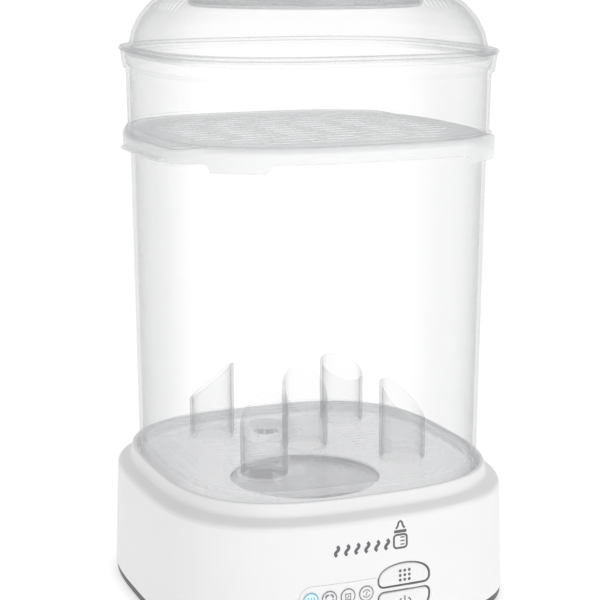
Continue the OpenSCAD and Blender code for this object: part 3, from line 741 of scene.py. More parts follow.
def ribbon(path, width, lift):
    """A flat band along a path on the wall: the path moved left and right by half the width."""
    path = np.array(path, float)
    ahead = np.gradient(path, axis=0)
    side = np.stack([-ahead[:, 1], ahead[:, 0]], -1)
    side /= np.maximum(np.hypot(*side.T)[:, None], 1e-9)
    across = np.array([1, -1])[:, None, None] * side * width / 2
    return sheet(on_wall(path + across, lift), way=-1)


def disc(x, z, r, lift, crown=0.0, rings=3, count=36):
    """A round mark or lens on the wall, lifted by crown (1 - t^2) towards its middle."""
    a = np.linspace(0, 2 * math.pi, count + 1)
    grid = []
    for t in np.linspace(1, 0, rings):
        flat_ring = np.stack([x + r * t * np.cos(a), z + r * t * np.sin(a)], -1)
        grid.append(on_wall(flat_ring, lift + crown * (1 - t * t)))
    return sheet(grid)


def arc(x, z, r, start, end, count=24):
    """Points of a round arc, its ends in degrees."""
    a = np.linspace(start, end, count) * math.pi / 180
    return np.stack([x + r * np.cos(a), z + r * np.sin(a)], -1)


def wave(x, z, height, swing, count=16):
    """A short upright wave, as steam is drawn."""
    t = np.linspace(-1, 1, count)
    return np.stack([x + swing * np.sin(t * math.pi), z + t * height / 2], -1)


KEY_LIFT = 0.40
mode_z, power_z = KEYS["mode_key"][0], KEYS["power_key"][0]
dots = [disc(KEY_S + 3.1 * i, mode_z - 0.6 + 2.9 * k, 0.95, KEY_LIFT)
        for i in (-1, 0, 1) for k in (-1, 0, 1)]
dress(make("mode_mark", dots, "mode_key_body"), mark_ink)
power = [ribbon(arc(KEY_S, power_z - 0.6, 4.3, 122, 418, 40), 0.75, KEY_LIFT),
         ribbon([[KEY_S, power_z - 0.4], [KEY_S, power_z + 2], [KEY_S, power_z + 4.6]], 0.75, KEY_LIFT)]
dress(make("power_mark", power, "power_key_body"), mark_ink)

# %% [markdown]
# ## Lights and their signs
# Four round windows show steam, fan, storage and auto. Each is a milky lens flush with the wall, a
# printed ring and a printed sign. The steam light is on, so its sign and ring are blue and glow a
# little, and the light spreads into its window.

# %% Lights and their signs
glow = Finish("lit_sign", 0.4, (0.04, 0.33, 0.48), Emission_Color=(0.06, 0.42, 0.62, 1),
              Emission_Strength=0.3)
glow.bump(glow.noise(900.0), 0.02, 0.0001)
lit_lens = Finish("lit_window", 0.25, (0.72, 0.84, 0.90), Emission_Strength=0.12)
lit_lens.feed(Emission_Color=lit_lens.mixed(lit_lens.noise(160.0), (0.45, 0.78, 1.0), (0.62, 0.88, 1.0)))
lens_plastic = moulded("window_white", (0.85, 0.85, 0.855), 0.25, grain=0.0)


def sign(kind, x):
    """The strokes of one sign, as ribbons about the window's middle."""
    lift, width, z = 0.19, 0.5, LENS_Z
    if kind == "steam":
        return [ribbon(wave(x + dx, z, 4.0, 0.45), width, lift) for dx in (-1.7, 0, 1.7)]
    if kind == "fan":
        blades = []
        for turn in range(4):
            mid = math.radians(90 * turn + 45)
            cx, cz = x + 1.55 * math.cos(mid), z + 1.55 * math.sin(mid)
            blades.append(ribbon(arc(cx, cz, 1.1, 90 * turn - 40, 90 * turn + 120), 1.0, lift))
        return blades
    if kind == "storage":
        lid_line = [[x - 2.0, z + 1.5], [x, z + 1.5], [x + 2.0, z + 1.5]]
        box = [[x - 1.6, z + 1.2], [x - 1.6, z - 2.0], [x - 1.5, z - 2.1],
               [x + 1.5, z - 2.1], [x + 1.6, z - 2.0], [x + 1.6, z + 1.2]]
        return [ribbon(lid_line, width, lift), ribbon(box, width, lift),
                ribbon(wave(x, z - 0.4, 1.8, 0.3), width, lift)]
    turn = [ribbon(arc(x, z, 2.3, start, start + 140), width, lift) for start in (20, 200)]
    return turn + [ribbon(wave(x, z, 2.3, 0.35), width, lift)]


for kind, s in zip(["steam", "fan", "storage", "auto"], LENS_S):
    on = kind == "steam"
    lens = make(kind + "_lens", [disc(s, LENS_Z, LENS_R, -0.2, 0.25)], "base",
                [kind + "_window"])
    dress(lens, lit_lens if on else lens_plastic)
    ring = ribbon(arc(s, LENS_Z, LENS_R - 0.28, 0, 360, 48), 0.5, 0.10)
    mark = make(kind + "_sign", [ring, *sign(kind, s)], "base")
    dress(mark, glow if on else icon_ink)

# %% Line the panel
edge_ink = moulded("panel_line_grey", (0.52, 0.52, 0.53), 0.5, grain=0.0)
left, top, low_line = PANEL[0] - PANEL[2] / 2 + PANEL[3] / 2, LENS_Z + PANEL[3] / 2, LENS_Z - PANEL[3] / 2
key_side = KEY_S - KEY_W / 2 - 1.3
panel_path = np.concatenate([
    np.linspace([key_side, top], [left, top], 24)[:-1], arc(left, LENS_Z, PANEL[3] / 2, 90, 270, 24),
    np.linspace([left, low_line], [key_side, low_line], 24)[1:]])
dress(make("panel_line", [ribbon(panel_path, 0.3, 0.05)], "base"), edge_ink)

# %% [markdown]
# ## A generic mark
# The front carries a small printed picture: wisps of steam that rise towards a feeding bottle. It
# says what the machine does and names no maker.

# %% Print the mark
MARK_S, MARK_Z = 13.4, 60.8
bold = 1.3
body = rounded_square(MARK_S, MARK_Z, 8.8, 8.2, 2.0)
bottle = [ribbon(looped(body), bold, 0.04)]
collar = [[MARK_S - 4.2, MARK_Z + 6.2], [MARK_S, MARK_Z + 6.2], [MARK_S + 4.2, MARK_Z + 6.2]]
bottle.append(ribbon(collar, 1.9, 0.04))
teat = [[MARK_S - 3.0, MARK_Z + 8.0], [MARK_S - 1.8, MARK_Z + 9.4], [MARK_S - 1.1, MARK_Z + 11.8],
        [MARK_S, MARK_Z + 12.7], [MARK_S + 1.1, MARK_Z + 11.8], [MARK_S + 1.8, MARK_Z + 9.4],
        [MARK_S + 3.0, MARK_Z + 8.0]]
bottle.append(ribbon(teat, bold, 0.04))
for rise in (-2.0, 0.2, 2.4):
    scale = [[MARK_S, MARK_Z + rise], [MARK_S + 1.4, MARK_Z + rise], [MARK_S + 2.9, MARK_Z + rise]]
    bottle.append(ribbon(scale, 0.8, 0.05))
bottle += [ribbon(wave(MARK_S - 42.0 + 6.6 * k, 60.0, 6.2, 1.1, 20), 2.0, 0.04) for k in range(6)]
dress(make("bottle_mark", bottle, "base"), mark_ink)

# %% [markdown]
# ## The bottom cover
# A dark cover closes the base and shows as a thin grey strip under the white wall. Seen from below
# it has curved air slots under the blower, drip slots under the electronics and sunk screw heads.

# %% Mould the bottom cover
BLOWER = (50.0, 46.0)
AIR_FIELD, AIR_PITCH, AIR_COLUMNS = 30, 6, range(-4, 5)
DRIP_PITCH, DRIP_ROWS = 7, range(-3, 4)
cover_border = plan_outline(BASE_HALF - 3.0)
air_in = [stadium(BLOWER[0] + AIR_PITCH * k, BLOWER[1],
                  2 * math.sqrt(AIR_FIELD ** 2 - (AIR_PITCH * k) ** 2), 2.6, math.pi / 2)
          for k in AIR_COLUMNS]
drips = [stadium(-66, -38 + DRIP_PITCH * k, 40, 2.4) for k in DRIP_ROWS]
screw_holes = [circle(*screw, 3.6, 24) for screw in SCREWS]
underside = plate(cover_border, FOOT_Z + 1.8, 1.8, 1.5, air_in + drips + screw_holes,
                  marks_x=[BLOWER[0] + AIR_PITCH * k + side for k in AIR_COLUMNS for side in (-1.3, 1.3)],
                  marks_y=[-38 + DRIP_PITCH * k + side for k in DRIP_ROWS for side in (-1.2, 1.2)])
cover_rows = soft([
    [BASE_HALF - 4.2, FOOT_Z], [BASE_HALF - 2.4, FOOT_Z], [BASE_HALF - 0.7, FOOT_Z + 1.2],
    [BASE_HALF - 0.3, SEAM_Z - 0.5], [BASE_HALF - 0.6, SEAM_Z - 0.2], [BASE_HALF - 2.6, SEAM_Z - 0.2],
    [BASE_HALF - 3.0, FOOT_Z + 1.8], [BASE_HALF - 4.2, FOOT_Z + 1.8]], 0.5, closed=True)
bottom_parts = [carried(cover_rows, all_round), underside]
dress(make("base_cover", bottom_parts, "base", ["bottom_cover"]), dark_plastic)

# %% [markdown]
# ## The deck and the water well
# Inside the collar the deck holds the chamber's foot and the rack's legs on two ledges, then falls
# as a shallow funnel to the round well, so that water runs down onto the heating plate. A short
# tower lets the dryer's warm air up under a round cap that keeps water out. Light that gathers in
# the white bowl is given as a little light of its own.

# %% Mould the deck
LEDGE_Z = RACK_FOOT - 0.3
SEAT_Z = CHAMBER_LOW - 0.3
WELL_Z = LEDGE_Z - 10
RISER = (0.0, 69.0)
deck_rows = soft([
    [102.9, SEAT_Z - 3.2], [102.9, SEAT_Z], [98, SEAT_Z], [97.4, LEDGE_Z], [91, LEDGE_Z],
    [60, WELL_Z + 0.6, 2], [55.6, WELL_Z, 2], [49, WELL_Z, 2], [49, WELL_Z - 2.4, 2],
    [57, WELL_Z - 2.4, 2], [61, WELL_Z - 1.8, 2], [92, LEDGE_Z - 2.6], [98, LEDGE_Z - 2.6]],
    1.2, 4, closed=True)
deck_rows = divided(deck_rows, lambda z: 2.2, closed=True)
deck_s = lines(-RIGHT, ROUND - RIGHT, 3.0, [(REAR - 24, REAR + 24, 1.2)])
deck_grid = placed(deck_rows[:, None], deck_s[None, :]).reshape(-1, 3)
deck_flat, deck_quads, _ = pierced(deck_grid[:, :2], grid_quads(len(deck_rows), len(deck_s), True),
                                   [circle(*RISER, 9.2)])
deck_grid[:, :2] = deck_flat
tower_profile = soft([[8, 66], [10, 66], [10, LEDGE_Z + 1], [8, LEDGE_Z + 1]], 0.7, closed=True)[:, :2]
deck_parts = [(deck_grid, deck_quads), turned(tower_profile, RISER, 48)]
bowl_plastic = moulded("bowl_white", (0.93, 0.93, 0.935), 0.36, Emission_Color=(1, 1, 1, 1),
                       Emission_Strength=0.14)
dress(make("deck", deck_parts, "base", ["base_deck"]), bowl_plastic)

cap_profile = soft([[0, 85.2], [12, 85.2], [12, 86.1], [11, 86.8], [0, 87.0]], 0.5)[:, :2]
fin = soft_block((-7.8, -0.7, 75.1), (7.8, 0.7, 85.3), 0.3)
cap_parts = [turned(cap_profile, RISER, 48, False)]
cap_parts += [turned_about(fin, RISER, k * math.pi / 3) for k in range(3)]
dress(make("outlet_cap", cap_parts, "base", ["air_outlet_cap"]), white_plastic)

# %% [markdown]
# ## The lead's gland and the filter door
# At the back, a collar grips the mains lead, and a door with slots pulls out with the air filter
# behind it. The door follows the wall's curve, so its face is a patch of the same surface.

# %% Gland and filter door
gland_low, gland_high = span("cord_gland")
gland_y = soft([
    [3.6, gland_low[1]], [6, gland_low[1]], [6, gland_high[1] - 2.4], [7.3, gland_high[1] - 1.4],
    [6.6, gland_high[1]], [3.6, gland_high[1]]], 0.4, closed=True)[:, :2]
points, quads = turned(gland_y, (0, 0), 48)
points = np.stack([points[:, 0] + LEAD[0], points[:, 2], points[:, 1] + LEAD[1]], -1)
gland = [(points, quads[:, ::-1])]
dress(make("lead_gland", gland, "base", ["cord_gland"]), gland_plastic)

door_border = rounded_square(REAR - DOOR[0], DOOR[1], DOOR[2] - 1, DOOR[3] - 1, 1.6)
door_slots = [stadium(REAR + 5 * k, DOOR[1], DOOR[3] - 11, 2.0, math.pi / 2) for k in range(-4, 5)]
door_s = lines(REAR - DOOR[2] / 2, REAR + DOOR[2] / 2, 1.0)
door_z = lines(DOOR[1] - DOOR[3] / 2, DOOR[1] + DOOR[3] / 2, 1.0)
door_flat, door_quads, _ = pierced(np.stack(np.meshgrid(door_s, door_z), -1).reshape(-1, 2),
                                   grid_quads(len(door_z), len(door_s)), door_slots, door_border)
door_face = thickened(on_wall(door_flat, -0.15), door_quads, 2.0)
wide, low_z, high_z = DOOR[2] / 2 - 1, DOOR[1] - DOOR[3] / 2 + 1, DOOR[1] + DOOR[3] / 2 - 1
DRAWER_Y, DRAWER_WALL = (95, 115.2), 1.6
drawer_sides = [(-wide, wide, low_z, low_z + DRAWER_WALL), (-wide, wide, high_z - DRAWER_WALL, high_z),
                (-wide, DRAWER_WALL - wide, low_z, high_z), (wide - DRAWER_WALL, wide, low_z, high_z)]
drawer = [soft_block((x0, DRAWER_Y[0], z0), (x1, DRAWER_Y[1], z1)) for x0, x1, z0, z1 in drawer_sides]
door_parts = [door_face, *drawer]
dress(make("filter_door", door_parts, "filter_drawer", ["filter_cover"]), white_plastic)

# %% [markdown]
# ## The clear chamber
# One tall moulding stands on the deck and carries the tier. It widens by two millimetres on the way
# up, and ends in a thicker rim that dips at the left and right with the tray's band.

# %% Mould the chamber
chamber_rows = soft([
    [101.4, CHAMBER_LOW], [103.1, 262], [103.4, 288, 3, 1], [RIM_HALF, 289.6, 3, 1],
    [RIM_HALF, CHAMBER_TOP, 3, 1], [101.0, CHAMBER_TOP, 3, 1], [100.7, 262], [99.0, CHAMBER_LOW]],
    0.8, closed=True)
chamber_rows = divided(chamber_rows, lambda z: 8.0, closed=True)
chamber_wall = carried(chamber_rows, all_round)
dress(make("clear_chamber", [chamber_wall], "chamber", ["lower_chamber"]), clear_plastic)

# %% [markdown]
# ## The bottle rack
# The rack is a clear plate on four legs, with a low rim, drain slots that follow its edge, a raised
# wing at each side and a peg at each of five places. Six short ribs round each peg hold a bottle's
# mouth off the plate so that steam can get under it.

# %% Mould the rack
PITCH = (span("peg_front_right")[0][0] + span("peg_front_right")[1][0]) / 2
places = [(0.0, 0.0)] + [(x * PITCH, y * PITCH) for x in (-1, 1) for y in (-1, 1)]
PLATE_T = 2.2
drains = [circle(x, y, PEG_R - 0.6) for x, y in places]
for side in (-1, 1):
    for y in (-58, 0, 58):
        drains.append(stadium(side * (91 - (y / 58) ** 2 * 5), y, 30 if y == 0 else 36, 3.4,
                              math.radians(90 + side * y * 0.16)))
    for x in (-58, -20, 20, 58):
        drains.append(stadium(x, side * (88 - (x / 58) ** 2 * 5), 28, 3.4, math.radians(-side * x * 0.16)))
    for k in range(-2, 3):
        drains.append(stadium(side * 44, 5.4 * k, 26, 2.4))
        drains.append(stadium(5.4 * k, side * 44, 26, 2.4, math.pi / 2))
rack_parts = [plate(plan_outline(RACK_HALF - 0.9), RACK_TOP, PLATE_T, 1.35, drains)]
rim = soft([
    [RACK_HALF - 1.8, RACK_TOP - PLATE_T], [RACK_HALF, RACK_TOP - PLATE_T],
    [RACK_HALF, RACK_TOP + 1.6], [RACK_HALF - 1.8, RACK_TOP + 1.6]], 0.5, closed=True)
rack_parts.append(carried(rim, all_round))
for corner in range(4):
    middle = station((1, -1, -1, 1)[corner], (1, 1, -1, -1)[corner])
    leg = soft([[RACK_HALF - 2.8, RACK_FOOT], [RACK_HALF - 0.8, RACK_FOOT], [RACK_HALF - 0.8, RACK_TOP - 1],
                [RACK_HALF - 2.8, RACK_TOP - 1]], 0.5, closed=True)
    leg_s = np.linspace(middle - 30, middle + 30, 21)
    leg_points, leg_quads = carried(leg, leg_s)
    n, m = len(leg), len(leg_s)
    rack_parts.append((leg_points, leg_quads))
    for column, way in ((0, 1), (m - 1, -1)):
        edge = leg_points[np.arange(n + 1) % n * m + column]
        rack_parts.append(sheet([edge, np.tile(edge[:n].mean(0), (n + 1, 1))], way=way))
rib = soft_block((PEG_R + 0.8, -0.9, RACK_TOP - 0.3), (PEG_R + 10.4, 0.9, RACK_TOP + 5), 0.5)
ring = soft([
    [PEG_R + 0.5, RACK_TOP - 0.2], [PEG_R + 2.0, RACK_TOP - 0.2],
    [PEG_R + 2.0, RACK_TOP + 1.1], [PEG_R + 0.5, RACK_TOP + 1.1]], 0.4, closed=True)[:, :2]
for x, y in places:
    rack_parts += [turned_about(rib, (x, y), math.radians(30 + 60 * k)) for k in range(6)]
    rack_parts.append(turned(ring, (x, y), 48))
RIB_LOW, WING_TOP, RIB_TOP = RACK_TOP - 0.3, RACK_TOP + 6.5, RACK_TOP + 2.3
for wing_x, rib_x in ((-84, -42), (84, 42)):
    rack_parts.append(soft_block((wing_x - 1, -26, RIB_LOW), (wing_x + 1, 26, WING_TOP), 0.6))
    rack_parts += [soft_block((rib_x - 20, y - 0.8, RIB_LOW), (rib_x + 20, y + 0.8, RIB_TOP), 0.5)
                   for y in (-26, 26)]
dress(make("rack_plate", rack_parts, "rack", ["bottle_rack"]), rack_plastic_painted_glow)

# %% [markdown]
# ## The pegs
# A peg is a short tube cut off on a slant, so that a bottle slides over its high side and steam
# leaves through its mouth. The outer four open outwards and the middle one opens forward. The
# height of the cut is a plane, so a row's height is a share of the way up to that plane.

# %% Turn the pegs
SLOPE = math.tan(math.radians(41.5))
PEG_LOW = span("peg_centre")[0][2]
TALL, FOOT = 51.0, 5
peg_turns = {"peg_centre": 270, "peg_front_left": 225, "peg_front_right": 315,
             "peg_rear_left": 135, "peg_rear_right": 45}
peg_profile = soft([
    [PEG_R - 1.5, 0], [PEG_R - 0.8, 0], [PEG_R - 0.8, 2.2], [PEG_R, 2.2], [PEG_R, TALL],
    [PEG_R - 1.5, TALL]], 0.55, 3, closed=True)[:, :2]
for peg, turn in peg_turns.items():
    low, high = span(peg)
    middle = ((low + high) / 2)[:2]

    def cut(z, angle, turn=math.radians(turn)):
        """Rows above the foot are moved to the slanted plane through the tube's high side."""
        drop = (PEG_R + PEG_R * np.cos(angle - turn)) * SLOPE
        top = PEG_TOP - PEG_LOW - drop
        return PEG_LOW + np.where(z > FOOT, z + top - TALL, z)

    tube = make(peg + "_tube", [turned(peg_profile, middle, 72, True, cut)], "rack", [peg])
    dress(tube, peg_plastic)

# %% [markdown]
# ## The tray
# The tray's band wraps the chamber's rim. Its edges run level round the front and the back and dip
# at the left and right, where a lip turns out for the fingers. A tab hangs from each corner. The
# floor is pierced by rows of slots, which steam rises through.

# %% Mould the tray
BAND_HALF = span("accessory_tray")[1][0] - LIP
BAND_LOW = CHAMBER_TOP - 6.1
corner_s = [station(x, y * math.tan(TAB_AT)) for x in (-1, 1) for y in (-1, 1)]
tab_zones = [(s + edge - 8, s + edge + 8, 0.8)
             for s in [*corner_s, corner_s[0] + ROUND] for edge in (-20, 20)]
lip_zones = [(s + edge - 6, s + edge + 6, 1.0) for s in (RIGHT, 3 * RIGHT, -RIGHT) for edge in (-42, 42)]
zones = [z for z in tab_zones + lip_zones if z[0] > -RIGHT and z[1] < ROUND - RIGHT]
band_s = lines(-RIGHT, ROUND - RIGHT, 2.4, zones)
band_rows = soft([
    [BAND_HALF - 1.8, BAND_LOW, 3, 0.6, 1], [BAND_HALF - 0.3, BAND_LOW, 3, 0.6, 1, 0.5],
    [BAND_HALF, BAND_LOW + 0.4, 3, 0.6, 1, 0.95], [BAND_HALF, BAND_LOW + 1.8, 3, 0.6, 0.6, 0.95],
    [BAND_HALF, BAND_LOW + 3.4, 3, 0.7, 0.0, 0.1], [BAND_HALF, TRAY_TOP - 1.0, 3, 1],
    [BAND_HALF - 1.0, TRAY_TOP, 3, 1], [102.1, TRAY_TOP, 3, 1], [101.7, TRAY_FLOOR], [99, TRAY_FLOOR],
    [99, TRAY_FLOOR - 2.4], [100.6, TRAY_FLOOR - 2.4], [101.4, TRAY_FLOOR - 2.4, 3, 1],
    [BAND_HALF - 1.8, TRAY_FLOOR - 2.4, 3, 1]], 0.5, closed=True)
SLOT_ROWS, SLOT_PITCH, SLOT_LENGTH, SLOT_WIDTH = range(-72, 73, 12), 30, 23, 4.6
slots = []
for y in SLOT_ROWS:
    half = 94 * math.cos(math.asin(abs(y) / 97))
    count = int((half * 2 + 6) // SLOT_PITCH)
    slots += [stadium((k - (count - 1) / 2) * SLOT_PITCH, y, SLOT_LENGTH, SLOT_WIDTH)
              for k in range(count)]
tray_floor = plate(plan_outline(99.4), TRAY_FLOOR, 2.4, 1.6, slots,
                   marks_y=[y + edge for y in SLOT_ROWS for edge in (-SLOT_WIDTH / 2, SLOT_WIDTH / 2)])
tray_parts = [carried(band_rows, band_s), tray_floor]
dress(make("slotted_tray", tray_parts, "tray", ["accessory_tray"]), tray_plastic)

# %% [markdown]
# ## The tier wall
# A low frosted wall stands on the tray. Its foot has a thin lip that follows the band's wave, and
# its top flares out under the lid.

# %% Mould the tier wall
low = TRAY_TOP + 0.3
tier_rows = soft([
    [104.6, low, 3, 1], [106.2, low + 0.2, 3, 1], [106.2, low + 1.6, 3, 1], [104.6, low + 2.2, 3, 1],
    [104.7, 308], [105.1, 334], [106.9, 335.6], [TIER_HALF, TIER_TOP], [TIER_HALF - 2.2, TIER_TOP],
    [104.8, 337], [102.9, 335], [102.7, 308], [102.6, low, 3, 1]], 0.6, closed=True)
tier_rows = divided(tier_rows, lambda z: 5.0, closed=True)
tier_wall = carried(tier_rows, all_round)
dress(make("tier_ring", [tier_wall], "tier", ["tier_wall"]), tier_plastic)

# %% [markdown]
# ## The lid
# The lid is a squared dome that turns round as it rises, so its squareness falls from 3 at the
# flange to 2, a circle, at the handle cup. Six slits at each side let steam out. The slits are
# straight in plan, so their outlines are laid out on the dome through the direction and the section.

# %% Mould the dome
REST = span("lid_dome")[0][2] + 4.3
SLIT_X, SLIT_PITCH, SLIT_LENGTH, SLIT_WIDTH = 86.5, 6.4, 14, 2.2
dome_rows = soft([
    [FLANGE_HALF, REST], [FLANGE_HALF, REST + 1.8], [104.4, REST + 2.2], [102.9, REST + 3.6],
    [101.2, 358.5], [96.9, 367.4], [91, 375.5, 2.9], [84.5, 381.4, 2.6], [78.6, 385.6, 2.2],
    [76, DOME_TOP, 2], [73.2, DOME_TOP, 2]], 2.4, 5)
dome_foot = soft([[101.6, REST - 4], [104.2, REST - 4], [104.4, REST], [FLANGE_HALF, REST]], 0.5)
dome_rows = np.concatenate([dome_foot[:-1], dome_rows])
dome_rows = divided(dome_rows, lambda z: 1.2 if z > 368 else 3.0)
along = np.append(0, np.cumsum(np.hypot(*np.diff(dome_rows[:, :2], axis=0).T)))
top_part = int((dome_rows[:, 1] > 362).argmax())
slits = []
for side in (-1, 1):
    for k in range(6):
        outline = stadium(side * SLIT_X, (k - 2.5) * SLIT_PITCH, SLIT_LENGTH, SLIT_WIDTH, count=8)
        w = np.interp(-abs(outline[:, 0]), -dome_rows[top_part:, 0], along[top_part:])
        s = station(outline[:, 0], outline[:, 1])
        slits.append(np.stack([np.where(s > ROUND - RIGHT - 1e-6, s - ROUND, s) if side > 0 else s, w], -1))
slit_zones = [(RIGHT - 30, RIGHT + 30, 0.9), (3 * RIGHT - 30, 3 * RIGHT + 30, 0.9)]
dome_s = lines(0, ROUND, 2.8, slit_zones)
dome_flat = np.stack(np.meshgrid(dome_s, along), -1).reshape(-1, 2)
dome_flat, dome_quads, _ = pierced(dome_flat, grid_quads(len(along), len(dome_s)), slits)
dome_at = np.stack([np.interp(dome_flat[:, 1], along, column) for column in dome_rows.T], -1)
dome_shell = thickened(*welded((placed(dome_at, dome_flat[:, 0]), dome_quads)), 2.4)
dress(make("lid_shell", [dome_shell], "lid", ["lid_dome"]), lid_plastic)

# %% Turn the handle cup and the grip
CUP_R = 72.8
CUP_FLOOR = span("lid_cup")[0][2] + 1.8
cup_profile = soft([
    [0, CUP_FLOOR - 1.8], [CUP_R - 1.4, CUP_FLOOR - 1.8], [CUP_R, CUP_FLOOR - 0.4], [CUP_R, DOME_TOP + 0.1],
    [76, DOME_TOP + 0.1], [76, LID_TOP - 0.5], [75.4, LID_TOP], [71.6, LID_TOP], [70.9, LID_TOP - 0.7],
    [70.9, CUP_FLOOR + 0.8], [70, CUP_FLOOR], [0, CUP_FLOOR]], 0.6)[:, :2]
cup_wall = turned(cup_profile, (0, 0), 120, False)
dress(make("handle_cup", [cup_wall], "lid", ["lid_cup"]), cup_plastic)

grip_low, grip_high = span("lid_grip")
half = grip_high[0]
grip_x = soft([
    [-half, grip_low[2]], [half, grip_low[2]], [half - 2, grip_high[2] - 5], [half - 7, grip_high[2]],
    [7 - half, grip_high[2]], [2 - half, grip_high[2] - 5]], 2.2, 5, closed=True)[:, :2]
grip_x[:, 1] = np.maximum(grip_x[:, 1], grip_low[2])
middle = (grip_low[2] + grip_high[2]) / 2
reach = grip_high[1]
stops = [(-reach, 0.0), (-reach, 0.93), (-reach + 0.5, 0.985), (-reach + 1.4, 1.0), (0, 1.0),
         (reach - 1.4, 1.0), (reach - 0.5, 0.985), (reach, 0.93), (reach, 0.0)]
loop = looped(grip_x)
grip_grid = [
    np.column_stack([loop[:, 0] * share, np.full(len(loop), y), middle + (loop[:, 1] - middle) * share])
    for y, share in stops]
dress(make("grip_bar", [sheet(grip_grid)], "lid", ["lid_grip"]), grip_plastic)

# %% [markdown]
# ## Finishes for the working parts
# The pieces inside keep their shapes from the frame and only need finishes: brushed and rolled
# steel, cast alloy, rubber, ceramic, printed board, foam and motor casing.

# %% Metals


def brushed(name, colour, roughness, stretch, **fixed):
    """A worked metal: fine streaks that follow one axis, in roughness and in bump."""
    finish = Finish(name, roughness, colour, Metallic=1.0, **fixed)
    squeezed = finish.node("ShaderNodeMapping", {}, Vector=finish.place, Scale=stretch)
    streaks = finish.node("ShaderNodeTexNoise", {}, Vector=squeezed, Scale=900.0, Detail=3.0)
    stain = finish.noise(35.0, 4.0)
    finish.feed(Base_Color=finish.mixed(stain, tuple(c * 0.86 for c in colour), colour))
    finish.feed(Roughness=(streaks * 0.22 + (roughness - 0.1)).clipped())
    return finish.bump(streaks, 0.12, 0.00008)


stainless = brushed("brushed_steel", (0.62, 0.62, 0.63), 0.3, (0.06, 1.0, 1.0))
screw_steel = brushed("screw_steel", (0.5, 0.5, 0.52), 0.34, (1.0, 1.0, 0.2))
cast_alloy = brushed("cast_alloy", (0.34, 0.34, 0.35), 0.5, (1.0, 1.0, 1.0))
print("metals:", stainless.material.name, cast_alloy.material.name)

# %% Rubber, ceramic, board, foam and motor
rubber = moulded("foot_rubber", (0.03, 0.03, 0.032), 0.75, grain=0.3)
silicone = moulded("seal_silicone", (0.52, 0.53, 0.55), 0.55, grain=0.15)
ceramic = moulded("fuse_ceramic", (0.70, 0.64, 0.52), 0.5, grain=0.2, drift=0.08)
motor_casing = moulded("motor_casing", (0.06, 0.06, 0.07), 0.38, grain=0.1)
led_plastic = moulded("led_milk", (0.72, 0.78, 0.82), 0.3)


def circuit_board():
    """Green solder mask over a weave of glass cloth, with copper tracks faintly darker."""
    finish = Finish("circuit_board", 0.35, (0.03, 0.16, 0.07))
    weave = finish.node("ShaderNodeTexWave", {"bands_direction": "X"}, Vector=finish.place, Scale=900.0)
    tracks = finish.node("ShaderNodeTexBrick", {}, Vector=finish.place, Scale=60.0, Mortar_Size=0.03,
                         output="Fac")
    finish.feed(Base_Color=finish.mixed(tracks, (0.03, 0.17, 0.075), (0.015, 0.09, 0.04)))
    finish.feed(Roughness=(weave * 0.1 + 0.3).clipped())
    return finish.bump(tracks * 0.6 + weave * 0.2, 0.2, 0.00005)


def board_parts():
    """Relay, transformer and connectors: dark blocks whose colour drifts from part to part."""
    finish = Finish("board_parts", 0.4, (0.1, 0.1, 0.2))
    tint = finish.mixed(finish.noise(30.0), (0.9, 0.75, 0.3), (0.1, 0.14, 0.3))
    finish.feed(Base_Color=finish.mixed(0.82, tint, (0.06, 0.07, 0.1)))
    return finish.bump(finish.noise(1500.0), 0.15, 0.0001)


def foam():
    """Open-cell filter foam: small round pits."""
    finish = Finish("filter_foam", 0.9, (0.72, 0.72, 0.66))
    cells = finish.node("ShaderNodeTexVoronoi", {}, Vector=finish.place, Scale=1400.0, output="Distance")
    finish.feed(Base_Color=finish.mixed((cells * 1.6).clipped(), (0.42, 0.42, 0.38), (0.78, 0.78, 0.72)))
    return finish.bump(cells, 0.6, 0.0004)


board, parts, filter_foam = circuit_board(), board_parts(), foam()
finishes = {
    "rubber_feet": rubber, "plate_seal": silicone, "heating_plate": stainless,
    "heating_element": cast_alloy,
    "element_bracket": stainless, "heater_screws": screw_steel, "thermostat": black_plastic,
    "thermal_fuse": ceramic, "control_board": board, "tact_switches": black_plastic,
    "indicator_leds": led_plastic, "power_board": board, "board_components": parts,
    "board_screws": screw_steel, "base_screws": screw_steel, "blower_housing": duct_plastic,
    "fan_motor": motor_casing, "fan_shaft": screw_steel, "fan_impeller": black_plastic,
    "dryer_heater": ceramic, "air_duct": duct_plastic, "air_filter": filter_foam}
for node, finish in finishes.items():
    dress(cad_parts[node], finish)
print(len(finishes), "working parts have their finish")

# %% [markdown]
# ## Floor, light and camera
# The machine stands on a white sweep in a white room. The sky is white at the horizon, greyer
# overhead, so that surfaces that face up read a little darker than the front, and greyer at the left
# and right, which shades the sides. The floor adds a little light of its own, which leaves only the
# soft shadow under the base.

# %% Floor
FLOOR = 6.0
floor_mesh = bpy.data.meshes.new("floor")
floor_corners = [(-FLOOR, -FLOOR, 0), (FLOOR, -FLOOR, 0), (FLOOR, FLOOR, 0), (-FLOOR, FLOOR, 0)]
floor_mesh.from_pydata(floor_corners, [], [(0, 1, 2, 3)])
floor = bpy.data.objects.new("floor", floor_mesh)
bpy.context.scene.collection.objects.link(floor)
sweep = Finish("white_sweep", 0.9, (0.86, 0.86, 0.86), Emission_Color=(1, 1, 1, 1), Emission_Strength=0.5)
dress(floor, sweep)

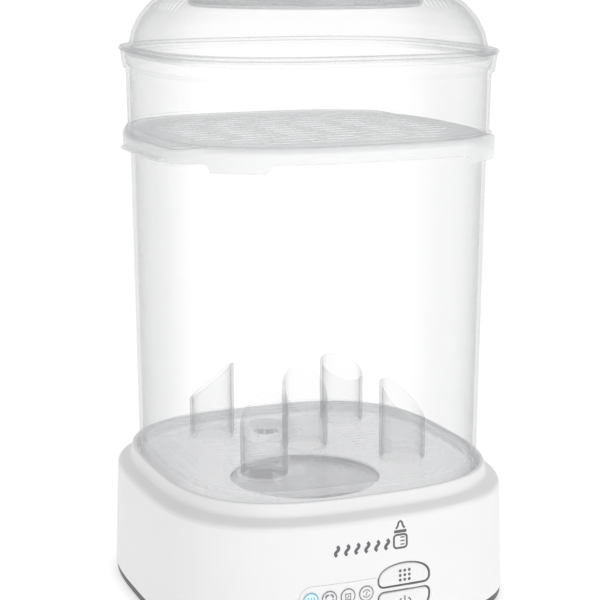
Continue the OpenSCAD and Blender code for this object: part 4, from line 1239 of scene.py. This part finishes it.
# %% Sky and lamps
scene = bpy.context.scene
world = bpy.data.worlds.new("white_room")
scene.world = world
world.use_nodes = True
nodes, links = world.node_tree.nodes, world.node_tree.links
place = nodes.new("ShaderNodeTexCoord")
split = nodes.new("ShaderNodeSeparateXYZ")
links.new(place.outputs["Generated"], split.inputs[0])


def sky_ramp(source, stops):
    """A ramp of greys along one number, as stops of (place, grey)."""
    ramp = nodes.new("ShaderNodeValToRGB")
    for element, (at, grey) in zip(ramp.color_ramp.elements, stops):
        element.position, element.color = at, (grey, grey, grey, 1)
    links.new(source, ramp.inputs[0])
    return ramp.outputs[0]


side = nodes.new("ShaderNodeMath")
side.operation = "ABSOLUTE"
links.new(split.outputs["X"], side.inputs[0])
both = nodes.new("ShaderNodeMix")
both.data_type, both.blend_type = "RGBA", "MULTIPLY"
both.inputs[0].default_value = 1.0
links.new(sky_ramp(split.outputs["Z"], [(0.25, 1.0), (0.95, 0.45)]), both.inputs[6])
links.new(sky_ramp(side.outputs[0], [(0.62, 1.0), (0.96, 0.42)]), both.inputs[7])
links.new(both.outputs[2], nodes["Background"].inputs["Color"])
nodes["Background"].inputs["Strength"].default_value = 1.02


def lamp(name, location, target, size, energy):
    """A square soft box that faces a target."""
    light = bpy.data.lights.new(name, "AREA")
    light.size, light.energy = size, energy
    box = bpy.data.objects.new(name, light)
    scene.collection.objects.link(box)
    box.location = location
    box.rotation_euler = (Vector(target) - box.location).to_track_quat("-Z", "Y").to_euler()


lamp("front_box", (-0.5, -1.9, 0.9), (0, 0, 0.15), 1.4, 7.0)
lamp("right_box", (1.6, -0.9, 0.7), (0, 0, 0.2), 0.9, 3.0)
scene.view_settings.view_transform = "Standard"
scene.cycles.transparent_max_bounces = 32

# %% Camera
eye = bpy.data.cameras.new("camera")
eye.lens, eye.sensor_width = 100.04, 36.0
camera = bpy.data.objects.new("camera", eye)
scene.collection.objects.link(camera)
camera.location = (-0.40991, -0.96546, 0.40971)
target = Vector((-0.00292, 0.00123, 0.18697))
camera.rotation_euler = (target - camera.location).to_track_quat("-Z", "Y").to_euler()
scene.camera = camera
print("camera looks from", [round(v, 3) for v in camera.location])
